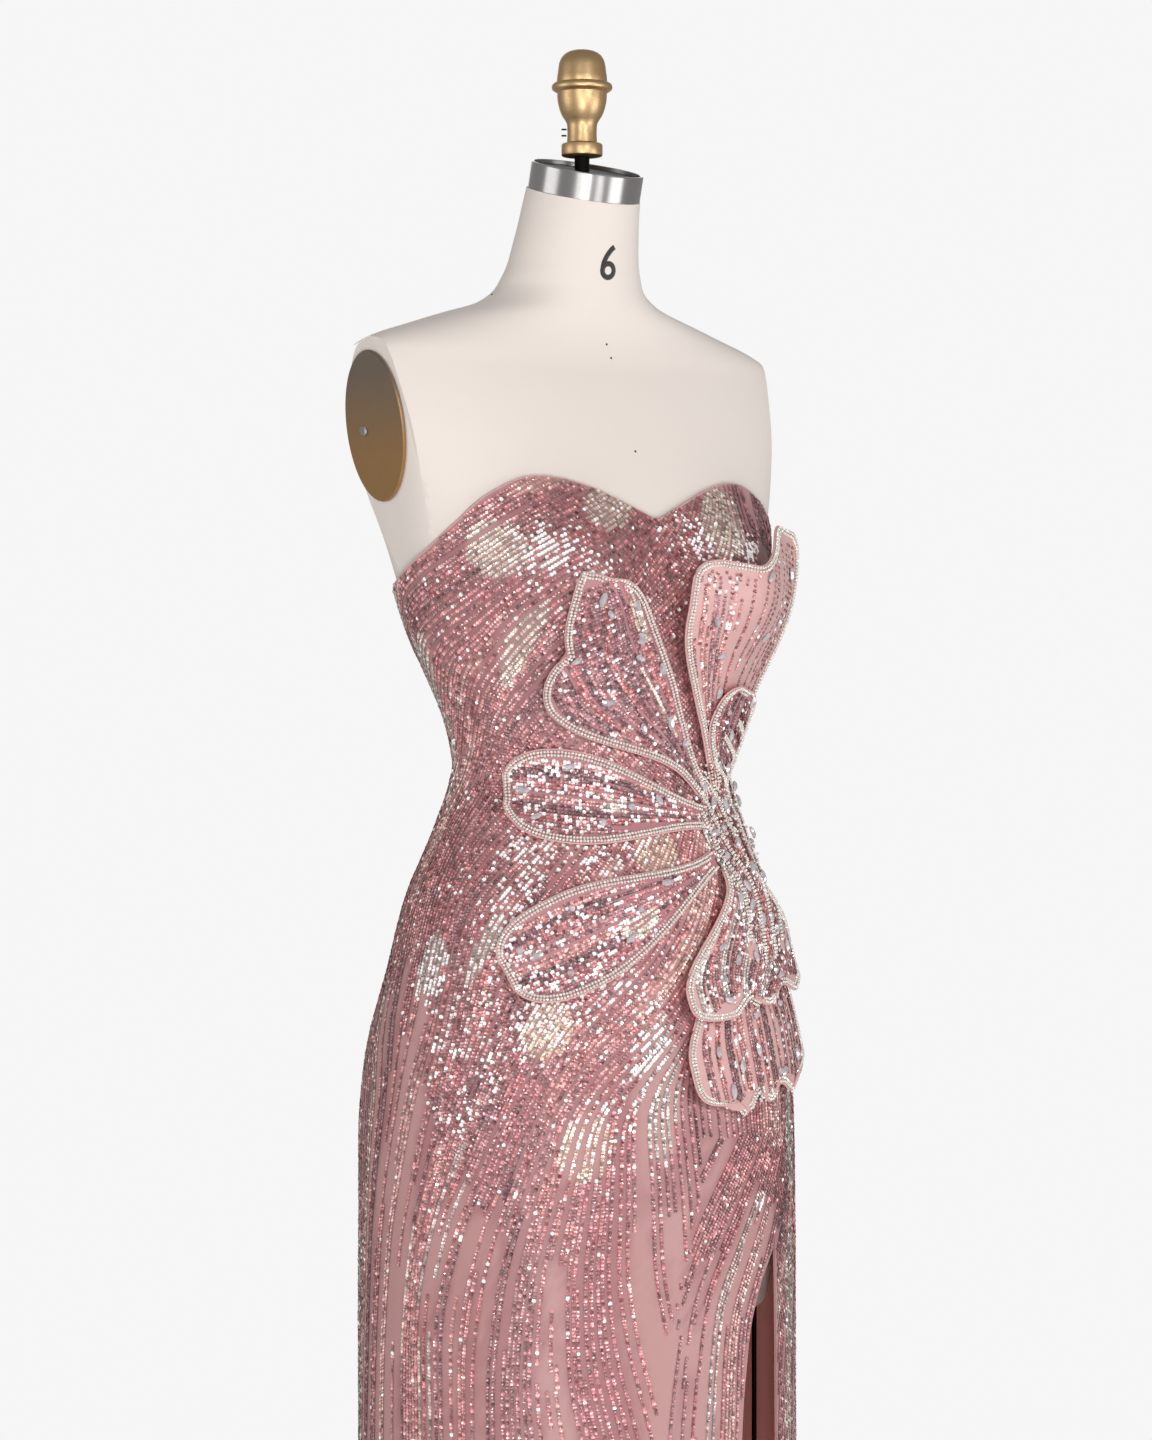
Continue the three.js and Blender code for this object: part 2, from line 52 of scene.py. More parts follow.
def linear(colour):  # an sRGB hex colour as linear values
    channels = [int(colour[i:i + 2], 16) / 255 for i in (1, 3, 5)]
    return [c / 12.92 if c <= 0.04045 else ((c + 0.055) / 1.055) ** 2.4 for c in channels] + [1]


def addNode(tree, kind, inputs, **settings):
    made = tree.nodes.new(kind)
    for name, value in settings.items():
        setattr(made, name, value)
    for name, value in inputs.items():
        if isinstance(value, bpy.types.NodeSocket):
            tree.links.new(value, made.inputs[name])
        else:
            made.inputs[name].default_value = value
    return made


def newMaterial(name, **shader):  # the words are the shader's sockets, with _ for a space
    material = bpy.data.materials.new(name)
    material.use_nodes = True
    surface = material.node_tree.nodes["Principled BSDF"]
    for socket, value in shader.items():
        surface.inputs[socket.replace("_", " ").replace("Ior", "IOR")].default_value = value
    return material, material.node_tree, surface


def makePiece(name, points, faces, materials, smooth=True, sharp=None, replaces=()):
    # faces is a list of index arrays, one for each material
    mesh = bpy.data.meshes.new(name)
    faces = [np.asarray(group) for group in faces]
    corners = np.concatenate([group.ravel() for group in faces])
    sizes = np.concatenate([np.full(len(group), group.shape[1]) for group in faces])
    which = np.concatenate([np.full(len(group), i) for i, group in enumerate(faces)])
    mesh.vertices.add(len(points))
    mesh.vertices.foreach_set("co", (np.asarray(points) * mm).astype(np.float32).ravel())
    mesh.loops.add(len(corners))
    mesh.loops.foreach_set("vertex_index", corners.astype(np.int32))
    mesh.polygons.add(len(sizes))
    mesh.polygons.foreach_set("loop_start", (np.cumsum(sizes) - sizes).astype(np.int32))
    mesh.polygons.foreach_set("material_index", which.astype(np.int32))
    mesh.polygons.foreach_set("use_smooth", np.full(len(sizes), smooth))
    mesh.update(calc_edges=True)
    if sharp:
        mesh.set_sharp_from_angle(angle=math.radians(sharp))
    for material in materials:
        mesh.materials.append(material)
    piece = bpy.data.objects.new(name, mesh)
    scene.collection.objects.link(piece)
    if replaces:
        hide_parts(*replaces)
    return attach(piece, "root")


def unit(vectors):
    return vectors / np.linalg.norm(vectors, axis=-1, keepdims=True)


def curveThrough(rows):  # a smooth curve through each column of a table, by its first column
    table = np.array(rows, float)
    at, value = table[:, 0], table[:, 1:]
    step = np.diff(at)[:, None]
    slope = np.diff(value, axis=0) / step
    inner = (slope[:-1] * step[1:] + slope[1:] * step[:-1]) / (step[:-1] + step[1:])
    tangent = np.vstack([slope[:1], inner, slope[-1:]])

    def evaluate(x):
        x = np.clip(np.asarray(x, float), at[0], at[-1])
        i = np.clip(np.searchsorted(at, x, side="right") - 1, 0, len(at) - 2)
        gap = step[i]
        s = (x - at[i])[..., None] / gap
        return (
            (2 * s**3 - 3 * s**2 + 1) * value[i]
            + (s**3 - 2 * s**2 + s) * gap * tangent[i]
            + (3 * s**2 - 2 * s**3) * value[i + 1]
            + (s**3 - s**2) * gap * tangent[i + 1]
        )
    return evaluate


# The form and the gown as surfaces

figure = [  # z, half width, front and back depth from the pole's axis
    [664, 158, 112, 120], [667, 163, 116, 124], [676, 166.5, 120, 129], [704, 170, 124, 133],
    [760, 176, 131, 141], [832, 180, 140, 150], [880, 176, 137, 142], [940, 163, 130, 124],
    [1000, 149, 125, 109], [1050, 129.5, 109, 87], [1100, 115, 98, 74], [1136, 121, 102, 80],
    [1168, 132.5, 109, 93], [1200, 146, 113, 106], [1240, 159, 112, 114], [1280, 171, 102, 114],
    [1310, 182, 90, 116], [1340, 194, 76, 115], [1366, 204, 64, 112], [1400, 206, 48, 98],
    [1418, 204, 39, 89], [1430, 195, 35, 83], [1438, 178, 33, 80], [1447, 150, 32, 77],
    [1457, 118, 32, 75], [1466, 87, 33, 74], [1476, 68, 34, 73], [1492, 57.5, 36, 66],
    [1520, 51, 40, 56.5], [1556, 46.5, 47, 45.5], [1590, 43, 53, 33],
]
skirt = [
    [10, 214, 173, 187], [120, 205, 164, 176], [250, 196, 156, 166], [400, 189, 149, 158],
    [560, 185.5, 146, 154], [664, 185.5, 145.5, 154], [760, 185, 145, 154],
]
fit = {
    "ease": 3.5,  # from the figure to the outside of the gown
    "cloth": 1.8,
    "formInset": 1.5,  # the form is this much slimmer under the gown
    "coveredBelow": 1240,
    "hip": 832,
    "hem": 10,
    "top": 1340,
}
bust = {"x": 78, "z": 1238, "above": 62, "below": 40, "form": (25, 40), "gown": (30, 50)}
folds = {"top": 640, "size": 5}
creases = [  # angle, z, lean, half length, half width, height: soft pulls in the cloth
    [-88, 1112, 8, 34, 6, -0.9], [-76, 1092, 14, 28, 5, -0.8], [-98, 1070, -6, 30, 7, -0.7],
    [88, 1108, -8, 36, 6, -0.9], [100, 1080, 10, 30, 6, -0.8], [112, 1124, -12, 32, 6, -0.7],
    [-120, 1100, 10, 36, 7, -0.9], [-140, 1076, -8, 30, 6, -0.7], [150, 1090, 9, 34, 7, -0.9],
    [-88, 1196, 58, 26, 6, -0.7], [92, 1190, 122, 28, 6, -0.8], [-160, 930, 80, 60, 14, -1.1],
    [158, 905, 98, 66, 15, -1.2], [-64, 700, 88, 90, 14, -1.3], [-104, 660, 92, 110, 18, -1.6],
    [120, 680, 90, 100, 17, -1.5], [170, 640, 88, 120, 20, -1.8], [-150, 600, 91, 120, 20, -1.7],
    [70, 600, 91, 90, 15, -1.4], [-36, 560, 86, 110, 18, -1.6],
]


def smoothStep(x, low, high):
    s = np.clip((x - low) / (high - low), 0, 1)
    return s * s * (3 - 2 * s)


def bodySurface(rows, cup):
    section = curveThrough(rows)

    def point(angle, z):
        angle, z = np.broadcast_arrays(np.asarray(angle, float), np.asarray(z, float))
        halfWidth, front, back = np.moveaxis(section(z), -1, 0)
        x = halfWidth * np.sin(angle)
        y = (back - front) / 2 - (front + back) / 2 * np.cos(angle)
        height, width = cup
        side = np.exp(-((x - bust["x"]) / width) ** 2) + np.exp(-((x + bust["x"]) / width) ** 2)
        reach = np.where(z > bust["z"], bust["above"], bust["below"])
        rise = np.exp(-((z - bust["z"]) / reach) ** 2)
        facing = np.sqrt(np.clip(np.cos(angle), 0, 1))
        return np.stack([x, y - height * side * rise * facing, z], -1)
    return point


formRows = [[z] + [d - (fit["formInset"] if z <= fit["coveredBelow"] else 0) for d in depths] for z, *depths in figure]
formPoint = bodySurface(formRows, bust["form"])
gownRows = skirt + [[z] + [d + fit["ease"] for d in depths] for z, *depths in figure if z >= fit["hip"]]
plainGown = bodySurface(gownRows, bust["gown"])


def foldedGown(angle, z):
    point = plainGown(angle, z)
    angle, z = np.broadcast_arrays(np.asarray(angle, float), np.asarray(z, float))
    growth = (np.clip(folds["top"] - z, 0, None) / (folds["top"] - fit["hem"])) ** 1.6
    out = folds["size"] * growth * (np.cos(5 * angle + 1.1) + 0.5 * np.cos(8 * angle + 2.3))
    for at, height, lean, halfLength, halfWidth, depth in creases:
        across = (np.degrees(angle) - at + 180) % 360 - 180
        across = np.radians(across) * 150
        up = z - height
        c, s = math.cos(math.radians(lean)), math.sin(math.radians(lean))
        along, off = (across * c + up * s) / halfLength, (up * c - across * s) / halfWidth
        out = out + depth * np.exp(-along**2 - off**2)
    point[..., :2] += unit(point[..., :2]) * out[..., None]
    return point


def gownFrame(angle, z):  # the directions across, up the cloth and out of it
    across = foldedGown(angle + 0.01, z) - foldedGown(angle - 0.01, z)
    rise = foldedGown(angle, z + 1) - foldedGown(angle, z - 1)
    out = unit(np.cross(across, rise))
    across = unit(across)
    return across, np.cross(out, across), out


def gownPoint(angle, z, outwards=0.0):
    angle, z = np.broadcast_arrays(np.asarray(angle, float), np.asarray(z, float))
    return foldedGown(angle, z) + gownFrame(angle, z)[2] * np.asarray(outwards)[..., None]


turns = np.arange(-180, 181)
levels = np.arange(fit["hem"], fit["top"] + 1, 5.0)
rings = plainGown(np.radians(turns)[None], levels[:, None])
pieces = np.linalg.norm(np.diff(rings, axis=1), axis=2)
arcs = np.concatenate([np.zeros((len(levels), 1)), np.cumsum(pieces, 1)], 1)
arcs -= arcs[:, [180]]


def angleAlong(arc, z):  # the angle at a distance round the gown from the centre front
    arc, z = np.broadcast_arrays(np.asarray(arc, float), np.asarray(z, float))
    level = np.clip((z.ravel() - levels[0]) / 5, 0, len(levels) - 1.001)
    i = level.astype(int)
    share = (level - i)[:, None]
    row = arcs[i] * (1 - share) + arcs[i + 1] * share
    j = np.clip((row <= arc.ravel()[:, None]).sum(1) - 1, 0, len(turns) - 2)
    every = np.arange(len(j))
    turn = turns[j] + (arc.ravel() - row[every, j]) / (row[every, j + 1] - row[every, j])
    return np.radians(turn).reshape(arc.shape)


neckline = curveThrough([
    [0, 1292], [8, 1304], [18, 1318], [30, 1325], [45, 1311], [60, 1288], [75, 1268], [95, 1249],
    [120, 1238], [150, 1230], [180, 1227],
])
slit = curveThrough([
    [10, 11, 35], [300, 13.5, 34.5], [560, 17, 34], [625, 19, 33.8], [674, 22.5, 33.6], [700, 27, 33.4],
    [722, 33, 33],
])
seams = {"side": 95, "slitTop": 722, "gap": 0.3, "zip": 2, "zipFoot": 876}


def topEdge(angle):
    return neckline(np.abs(np.degrees(angle)))[..., 0]


def roundBy(degrees, distance, z):
    return np.radians(degrees) + distance / (plainGown(math.pi / 2, z)[..., 0] * 0.9)


# Finishes

def blend(tree, share, first, second):
    sockets = {"Factor": share, "A": first, "B": second}
    return addNode(tree, "ShaderNodeMix", sockets, data_type="RGBA").outputs["Result"]


def objectPlace(tree):
    return addNode(tree, "ShaderNodeTexCoord", {}).outputs["Object"]


def noise(tree, place, scale, detail):
    return addNode(tree, "ShaderNodeTexNoise", {"Vector": place, "Scale": scale, "Detail": detail}).outputs["Fac"]


def tintAndGrain(tree, surface, tint, grain, strength, depth):  # the colour, and the grain as fine relief
    bump = addNode(tree, "ShaderNodeBump", {"Height": grain, "Strength": strength, "Distance": depth})
    tree.links.new(tint, surface.inputs["Base Color"])
    tree.links.new(bump.outputs["Normal"], surface.inputs["Normal"])


def gownSatin(name, colour, shade, under=None):
    # Polyester satin, woven and dyed: long floats make it smooth with a soft gleam
    material, tree, surface = newMaterial(name, Roughness=0.46, Sheen_Weight=0.25, Sheen_Roughness=0.4, Ior=1.5)
    place = objectPlace(tree)
    tint = blend(tree, noise(tree, place, 9.0, 3.0), linear(colour), linear(shade))
    if under:  # painted shade: a darker colour where the sequins lie close, for the shade between them
        sequinShadeShare = addNode(tree, "ShaderNodeAttribute", {}, attribute_name="sequinShadeShare")
        tint = blend(tree, sequinShadeShare.outputs["Fac"], tint, linear(under))
    # the grain is 1 mm, coarser than the threads, to show
    tintAndGrain(tree, surface, tint, noise(tree, place, 900.0, 2.0), 0.18, 0.0004)
    return material


def cottonCover(name, colour, shade):
    # Unbleached cotton canvas pulled over a shell: matt, with a plain weave that just shows
    material, tree, surface = newMaterial(name, Roughness=0.88, Sheen_Weight=0.15, Sheen_Roughness=0.6)
    place = objectPlace(tree)
    # the threads are 0.75 mm apart, coarser than real ones, to show
    threads = {"Vector": place, "Scale": 420.0, "Distortion": 1.5}
    warp = addNode(tree, "ShaderNodeTexWave", threads, bands_direction="X")
    weft = addNode(tree, "ShaderNodeTexWave", threads, bands_direction="Z")
    weave = addNode(tree, "ShaderNodeMath", {0: warp.outputs["Fac"], 1: weft.outputs["Fac"]}, operation="ADD")
    tint = blend(tree, noise(tree, place, 5.0, 4.0), linear(colour), linear(shade))
    tintAndGrain(tree, surface, tint, weave.outputs["Value"], 0.12, 0.0003)
    return material


def roughMetal(name, colours, roughness, scale, strength, stretch=(1, 1, 1), paintedReflection=None):
    material, tree, surface = newMaterial(name, Metallic=1.0)
    place = objectPlace(tree)
    mapped = addNode(tree, "ShaderNodeMapping", {"Vector": place, "Scale": stretch})
    grain = noise(tree, mapped.outputs["Vector"], scale, 4.0)
    tint = blend(tree, grain, linear(colours[0]), linear(colours[1]))
    if paintedReflection:  # painted reflection: a greyer colour that comes on between two heights in metres
        height = addNode(tree, "ShaderNodeSeparateXYZ", {"Vector": place}).outputs["Z"]
        between = {"Value": height, "From Min": paintedReflection[1], "From Max": paintedReflection[2]}
        share = addNode(tree, "ShaderNodeMapRange", between)
        tint = blend(tree, share.outputs["Result"], tint, linear(paintedReflection[0]))
    rough = addNode(tree, "ShaderNodeMapRange", {"Value": grain, "To Min": roughness[0], "To Max": roughness[1]})
    tree.links.new(rough.outputs["Result"], surface.inputs["Roughness"])
    tintAndGrain(tree, surface, tint, grain, strength, 0.0003)
    return material


def brushed(*settings):  # lines round the upright axis, which stretch the highlights upright
    material = roughMetal(*settings)
    surface = material.node_tree.nodes["Principled BSDF"]
    surface.inputs["Anisotropic"].default_value = 0.85
    surface.inputs["Anisotropic Rotation"].default_value = 0.25
    round = addNode(material.node_tree, "ShaderNodeTangent", {}, direction_type="RADIAL", axis="Z")
    material.node_tree.links.new(round.outputs["Tangent"], surface.inputs["Tangent"])
    return material


def sequinFilm():
    # Metallised polyester film, punched and cupped: a pearly mirror. Its colour carries a painted highlight in its cup
    # and painted shade at its rim
    material, tree, surface = newMaterial("cuppedSequinFilm", Coat_Weight=0.3, Coat_Roughness=0.1)
    tone = addNode(tree, "ShaderNodeAttribute", {}, attribute_name="tone")
    polish = {"To Min": 0.36, "To Max": 0.14}
    metal = {"From Min": 0.8, "To Min": 0.45, "To Max": 0.12}  # the painted glints are hardly metallised, so they show white under any light
    for socket, ranges in (("Metallic", metal), ("Roughness", polish)):
        made = addNode(tree, "ShaderNodeMapRange", {"Value": tone.outputs["Alpha"], **ranges})
        tree.links.new(made.outputs["Result"], surface.inputs[socket])
    tree.links.new(tone.outputs["Color"], surface.inputs["Base Color"])
    return material


def crystal(name, colour, roughness, foil, depth):
    # Foil-backed cut crystal: bright flat facets that mirror the lamps
    material, tree, surface = newMaterial(
        name, Metallic=foil, Roughness=roughness, Coat_Weight=1.0, Coat_Roughness=0.03)
    fleck = noise(tree, objectPlace(tree), 260.0, 1.0)
    dark = [c * depth for c in linear(colour)[:3]] + [1]
    tree.links.new(blend(tree, fleck, linear(colour), dark), surface.inputs["Base Color"])
    return material


finishes = {
    # the satin's last colour is painted shade, laid where dark sequins lie close
    "satin": gownSatin("dustyPinkSatin", "#b78b89", "#ae807e", "#a06d6f"),
    "petalSatin": gownSatin("palePinkSatin", "#d5a9a6", "#cb9d9a"),
    # the satin under the petals sewn all over is darker: painted shade between their close sequins
    "petalShadedSatin": gownSatin("rosePinkSatinPaintedShade", "#b47c81", "#a77075"),
    # painted light: the lining is lighter than the gown's satin so that the shaded inside of the slit reads lit
    "lining": gownSatin("roseTaffeta", "#f4aea4", "#eca198"),
    "cotton": cottonCover("cottonCanvas", "#e6dcd5", "#e0d5cc"),
    "seam": cottonCover("foldedCottonSeam", "#ded3ca", "#d6cabf"),
    "ink": cottonCover("inkPrintedOnCotton", "#3a3634", "#2f2c2a"),
    "sequin": sequinFilm(),
    "rhinestone": crystal("silverRhinestone", "#f8f1e8", 0.2, 0.16, 0.7),
    "stone": crystal("lilacCutCrystal", "#f2e6ea", 0.12, 0.35, 0.42),
    # Brushed stainless steel: fine lines round the band stretch the highlights upright
    "steel": brushed("brushedSteel", ("#cac8c6", "#b3b1af"), (0.3, 0.36), 260.0, 0.02, (1, 1, 8)),
    # Cast aluminium under gold lacquer: a warm satin metal with a faint orange peel
    "gold": roughMetal("goldLacquer", ("#d9ba8f", "#c39f71"), (0.36, 0.48), 420.0, 0.22),
    # Bronzed sheet steel: a brown metal with broad soft reflections, and a painted reflection that makes it greyer and
    # duller towards the top
    "bronze": roughMetal("bronzedSteel", ("#c99e6c", "#b58a5c"), (0.3, 0.42), 60.0, 0.05,
                         paintedReflection=("#948576", 1.34, 1.41)),
    # Powder-coated steel: black with a fine dull texture
    "black": roughMetal("blackPowderCoat", ("#1b1a18", "#131210"), (0.42, 0.6), 700.0, 0.3),
}
print("finishes made")


# Cloth walls

def wallMesh(outer, inner):  # a closed wall between two grids of points
    rows, columns = outer.shape[:2]
    points = np.concatenate([outer.reshape(-1, 3), inner.reshape(-1, 3)])
    at = np.arange(rows * columns).reshape(rows, columns)
    a, b, c, d = at[:-1, :-1], at[:-1, 1:], at[1:, 1:], at[1:, :-1]
    front = np.stack([a, b, c, d], -1).reshape(-1, 4)
    back = front[:, ::-1] + rows * columns
    edges = []
    for line in (at[0, ::-1], at[-1], at[:, 0], at[::-1, -1]):
        other = line + rows * columns
        edges.append(np.stack([line[:-1], line[1:], other[1:], other[:-1]], -1))
    return points, np.concatenate([front] + edges), back


def clothArea(piece):
    return sum(p.area for p in piece.data.polygons) / 2


panelGrid = {"rows": 128, "rim": 1260}
panelPlaces = []  # each panel with its corners' angles and heights
looseBelow = curveThrough([  # angle, and the height under which bare satin opens between the rows
    [-180, 900], [-135, 925], [-100, 930], [-80, 885], [-65, 820], [-50, 768], [-35, 735], [-20, 727], [-8, 735],
    [3, 758], [10, 762], [30, 745], [60, 770], [95, 850], [135, 880], [180, 900],
])


def addPanel(name, rightEdge, leftEdge, columns):
    u = np.linspace(0, 1, columns + 1)[None]
    v = np.linspace(0, 1, panelGrid["rows"] + 1)[:, None]
    ends = rightEdge(np.array(panelGrid["rim"])), leftEdge(np.array(panelGrid["rim"]))
    z = fit["hem"] + (topEdge(ends[0] + (ends[1] - ends[0]) * u) - fit["hem"]) * v
    right, left = rightEdge(z), leftEdge(z)
    angle = right + (left - right) * u
    points, front, back = wallMesh(gownPoint(angle, z), gownPoint(angle, z, -fit["cloth"]))
    piece = makePiece(name + "_cloth", points, [front, back], [finishes["satin"], finishes["lining"]],
                      replaces=[name])
    piece.data.set_sharp_from_angle(angle=math.radians(50))
    panelPlaces.append((piece, np.degrees(angle), z))
    area = clothArea(piece)
    hemSteps = np.linalg.norm(np.diff(gownPoint(angle[0], z[0]), axis=0), axis=1)
    width = float(np.ptp(hemSteps.cumsum())) * mm
    length = (fit["top"] - fit["hem"]) * mm
    width = max(width, area / length) * 1.02


def backEdge(z):
    return np.where(z > seams["zipFoot"] - 1, seams["zip"] + seams["gap"], seams["gap"] / 2)


def slitEdge(column, distance):
    def edge(z):
        return roundBy(slit(np.minimum(z, seams["slitTop"]))[..., column], distance, z)
    return edge


def addPanels():
    half, side = seams["gap"] / 2, seams["side"]
    addPanel("front_panel", lambda z: roundBy(-side, half, z), slitEdge(0, -half), 64)
    addPanel("side_front_left", slitEdge(1, half), lambda z: roundBy(side, -half, z), 28)
    addPanel("back_left", lambda z: roundBy(side, half, z), lambda z: roundBy(180, -backEdge(z), z), 36)
    addPanel("back_right", lambda z: roundBy(-180, backEdge(z), z), lambda z: roundBy(-side, -half, z), 36)


def addTube(name, line, radius, material, sides=8):  # a round cord along a line of points
    ahead = unit(np.gradient(line, axis=0))
    first = unit(np.cross(ahead, np.where(np.abs(ahead[:, 2:]) > 0.9, [[1.0, 0, 0]], [[0, 0, 1.0]])))
    second = np.cross(ahead, first)
    turn = (np.arange(sides) * 2 * math.pi / sides)[None, :, None]
    ring = line[:, None] + radius * (first[:, None] * np.cos(turn) + second[:, None] * np.sin(turn))
    at = np.arange(len(line) * sides).reshape(len(line), sides)
    after = np.roll(at, -1, 1)
    quads = np.stack([at[:-1], at[1:], after[1:], after[:-1]], -1).reshape(-1, 4)
    makePiece(name, ring.reshape(-1, 3), [quads, at[:1], at[-1:, ::-1]], [material] * 3)


def addBinding():  # a narrow satin binding along the top edge
    angle = np.radians(np.linspace(-179.2, 179.2, 900))
    line = gownPoint(angle, topEdge(angle) - 0.4, -fit["cloth"] / 2)
    addTube("neckline_binding", line, 1.0, finishes["petalSatin"])


addPanels()
addBinding()


# Petals

petalColumns = ("name", "arc", "z", "bearing", "length", "left", "right", "root", "widest", "blunt",
                "lobe", "lobeEnd", "slant", "curl", "scallops", "rootHeight", "layer", "lift", "cup")
petalRows = [
    ("petal_upper_right", 53, 1074, 127, 216, 44, 23, 0.2, 0.72, 2.1, 32, 0.79, -9, 0, 0, 0, 0, 3, 4),
    ("petal_bust", 70, 1070, 83.5, 179, 82, 57, 0.14, 0.78, 5, 0, 1, 0, 38, 0, 0, 0, 16, 6),
    ("petal_small", 70, 1078, 79, 88, 34, 36, 0.22, 0.62, 2.8, 0, 1, 0, 0, 0, 2.4, 2.6, 7, 3),
    ("petal_waist", 45, 1058, 173, 172, 34, 40, 0.25, 0.74, 2.6, 0, 1, 0, 0, 0, 0, 0, 3, 4),
    ("petal_hip_right", 45, 1026, 204.5, 206, 37, 37, 0.2, 0.7, 2.8, 0, 1, 0, 0, 0, 0, 0, 3, 4),
    ("petal_hip_front", 71, 1022, 279, 108, 86, 90, 0.22, 0.8, 4.2, 0, 1, 0, 0, 2, 0, 4, 5, 4),
    ("petal_lowest", 72, 945, 279, 106, 100, 84, 0.66, 0.6, 5, 0, 1, 0, 0, 3, 0, 0, 4, 4),
]
petals = [dict(zip(petalColumns, row)) for row in petalRows]
petalForm = {"thickness": 1.5, "gap": 1.35, "rootGap": 0.6, "tipShare": 0.14, "shoulder": 0.8, "scallop": 5,
             "curl": (-0.45, 0.25)}
closePetals = ("petal_upper_right", "petal_small", "petal_waist", "petal_hip_right")  # sequinned all over


def petalShare(v):  # how far along the petal a row of its mesh lies
    return 0.995 * (0.4 * v + 0.6 * np.sin(v * math.pi / 2))


def petalWidths(petal, t):  # the widths to the left and right of the middle line
    past = np.clip((t - petal["widest"]) / (1 - petal["widest"]), 0, 1)
    tip = np.maximum(petalForm["tipShare"], (1 - past ** petal["blunt"]) ** (1 / petal["blunt"]))
    stem = petal["root"] + (1 - petal["root"]) * smoothStep(t, 0, petal["widest"])
    width = np.where(t < petal["widest"], stem, tip)
    along = t / petal["lobeEnd"]
    bend = petalForm["shoulder"]
    fall = np.sqrt(np.clip(1 - ((along - bend) / (1 - bend)) ** 2, 0, 1))
    lobe = petal["lobe"] * np.where(along < bend, smoothStep(along, 0.16, bend), np.where(along < 1, fall, 0))
    return petal["left"] * width + lobe, petal["right"] * width


def petalPoint(petal, u, v, outwards=0.0):
    u, v = np.broadcast_arrays(np.asarray(u, float), np.asarray(v, float))
    t = petalShare(v)
    across = 2 * u - 1
    left, right = petalWidths(petal, t)
    sideways = across * np.where(across < 0, left, right)
    wave = petalForm["scallop"] * np.cos(petal["scallops"] * math.pi * across) if petal["scallops"] else 0
    curl = petal["curl"] * smoothStep(sideways / petal["right"], *petalForm["curl"])
    reach = petal["length"] * t + (petal["slant"] * across + curl + wave) * t**3
    bearing = math.radians(petal["bearing"])
    arc = petal["arc"] + math.cos(bearing) * reach + math.sin(bearing) * sideways
    z = petal["z"] + math.sin(bearing) * reach - math.cos(bearing) * sideways
    settled = np.minimum(1, 6 * t)
    root, rest = petalForm["rootGap"] + petal["rootHeight"], petalForm["gap"] + petal["layer"]
    height = root + (rest - root) * settled + petal["lift"] * t**2 + petal["cup"] * across**2 * t
    angle = angleAlong(arc, z)
    return gownPoint(angle, z, height + np.asarray(outwards)), angle, z, height


def petalFrame(petal, u, v, outwards):  # the point, the way along and the way out
    step = 0.004
    low, high = np.clip(u - step, 0, 1), np.clip(u + step, 0, 1)
    across = petalPoint(petal, high, v, outwards)[0] - petalPoint(petal, low, v, outwards)[0]
    low, high = np.clip(v - step, 0, 1), np.clip(v + step, 0, 1)
    along = petalPoint(petal, u, high, outwards)[0] - petalPoint(petal, u, low, outwards)[0]
    out = unit(np.cross(across, along))
    return petalPoint(petal, u, v, outwards)[0], unit(along), out


def addPetal(petal):
    u, v = np.linspace(0, 1, 25)[None], np.linspace(0, 1, 31)[:, None]
    outer = petalPoint(petal, u, v, petalForm["thickness"])[0]
    inner = petalPoint(petal, u, v, 0.0)[0]
    points, front, back = wallMesh(outer, inner)
    # petals sewn all over get the darker satin, as painted shade between their sequins
    ground = finishes["petalShadedSatin" if petal["name"] in closePetals else "petalSatin"]
    piece = makePiece(petal["name"] + "_cloth", points, [front, back], [ground, finishes["lining"]],
                      replaces=[petal["name"]])
    piece.data.set_sharp_from_angle(angle=math.radians(50))


for petal in petals:
    addPetal(petal)
print("cloth made")


# Rows of sequins on the gown

rowLean = [  # angle, z, lean: the way the rows run on the cloth, anticlockwise from the wearer's left
    [-104, 1150, 50], [-82, 1142, 64], [-82, 1128, 70], [-80, 1216, 25], [-73, 1226, 27], [-54, 1244, 31],
    [-55, 1191, 50], [-40, 1303, 33], [-21, 1302, 25], [-17, 1270, 27], [-5, 1263, 38], [11, 1282, 62],
    [34, 1290, 70], [60, 1300, 120], [-103, 1004, 87], [-46, 1034, 50], [-47, 1083, 46], [-93, 890, 102],
    [-72, 910, 85], [-76, 880, 71], [-52, 855, 66], [-36, 862, 59], [-18, 888, 35], [-20, 858, 46],
    [-48, 802, 68], [-33, 790, 73], [-20, 789, 90], [-8, 788, 93], [-5, 803, 100], [4, 808, 98],
    [-77, 801, 78], [-55, 773, 61], [-83, 698, 85], [-67, 638, 93], [-63, 717, 73], [-56, 672, 82],
    [-46, 739, 75], [-44, 672, 81], [-36, 658, 92], [-29, 669, 91], [-22, 616, 105], [-16, 632, 109],
    [-11, 670, 104], [-60, 540, 92], [-25, 520, 98], [-60, 300, 91], [-25, 250, 92], [-95, 300, 90],
    # the back and the hidden left side follow suit
    [-130, 1200, 48], [-155, 1190, 66], [180, 1185, 90], [155, 1190, 114], [130, 1200, 132], [104, 1205, 150],
    [-130, 1110, 72], [180, 1100, 90], [130, 1110, 108], [100, 1130, 116], [90, 1000, 95], [135, 1000, 92],
    [-135, 1000, 88], [-135, 880, 98], [180, 880, 90], [135, 880, 82], [95, 880, 80], [70, 900, 84],
    [100, 600, 92], [150, 600, 88], [-150, 600, 92], [180, 300, 90], [110, 200, 90], [-130, 200, 90],
]
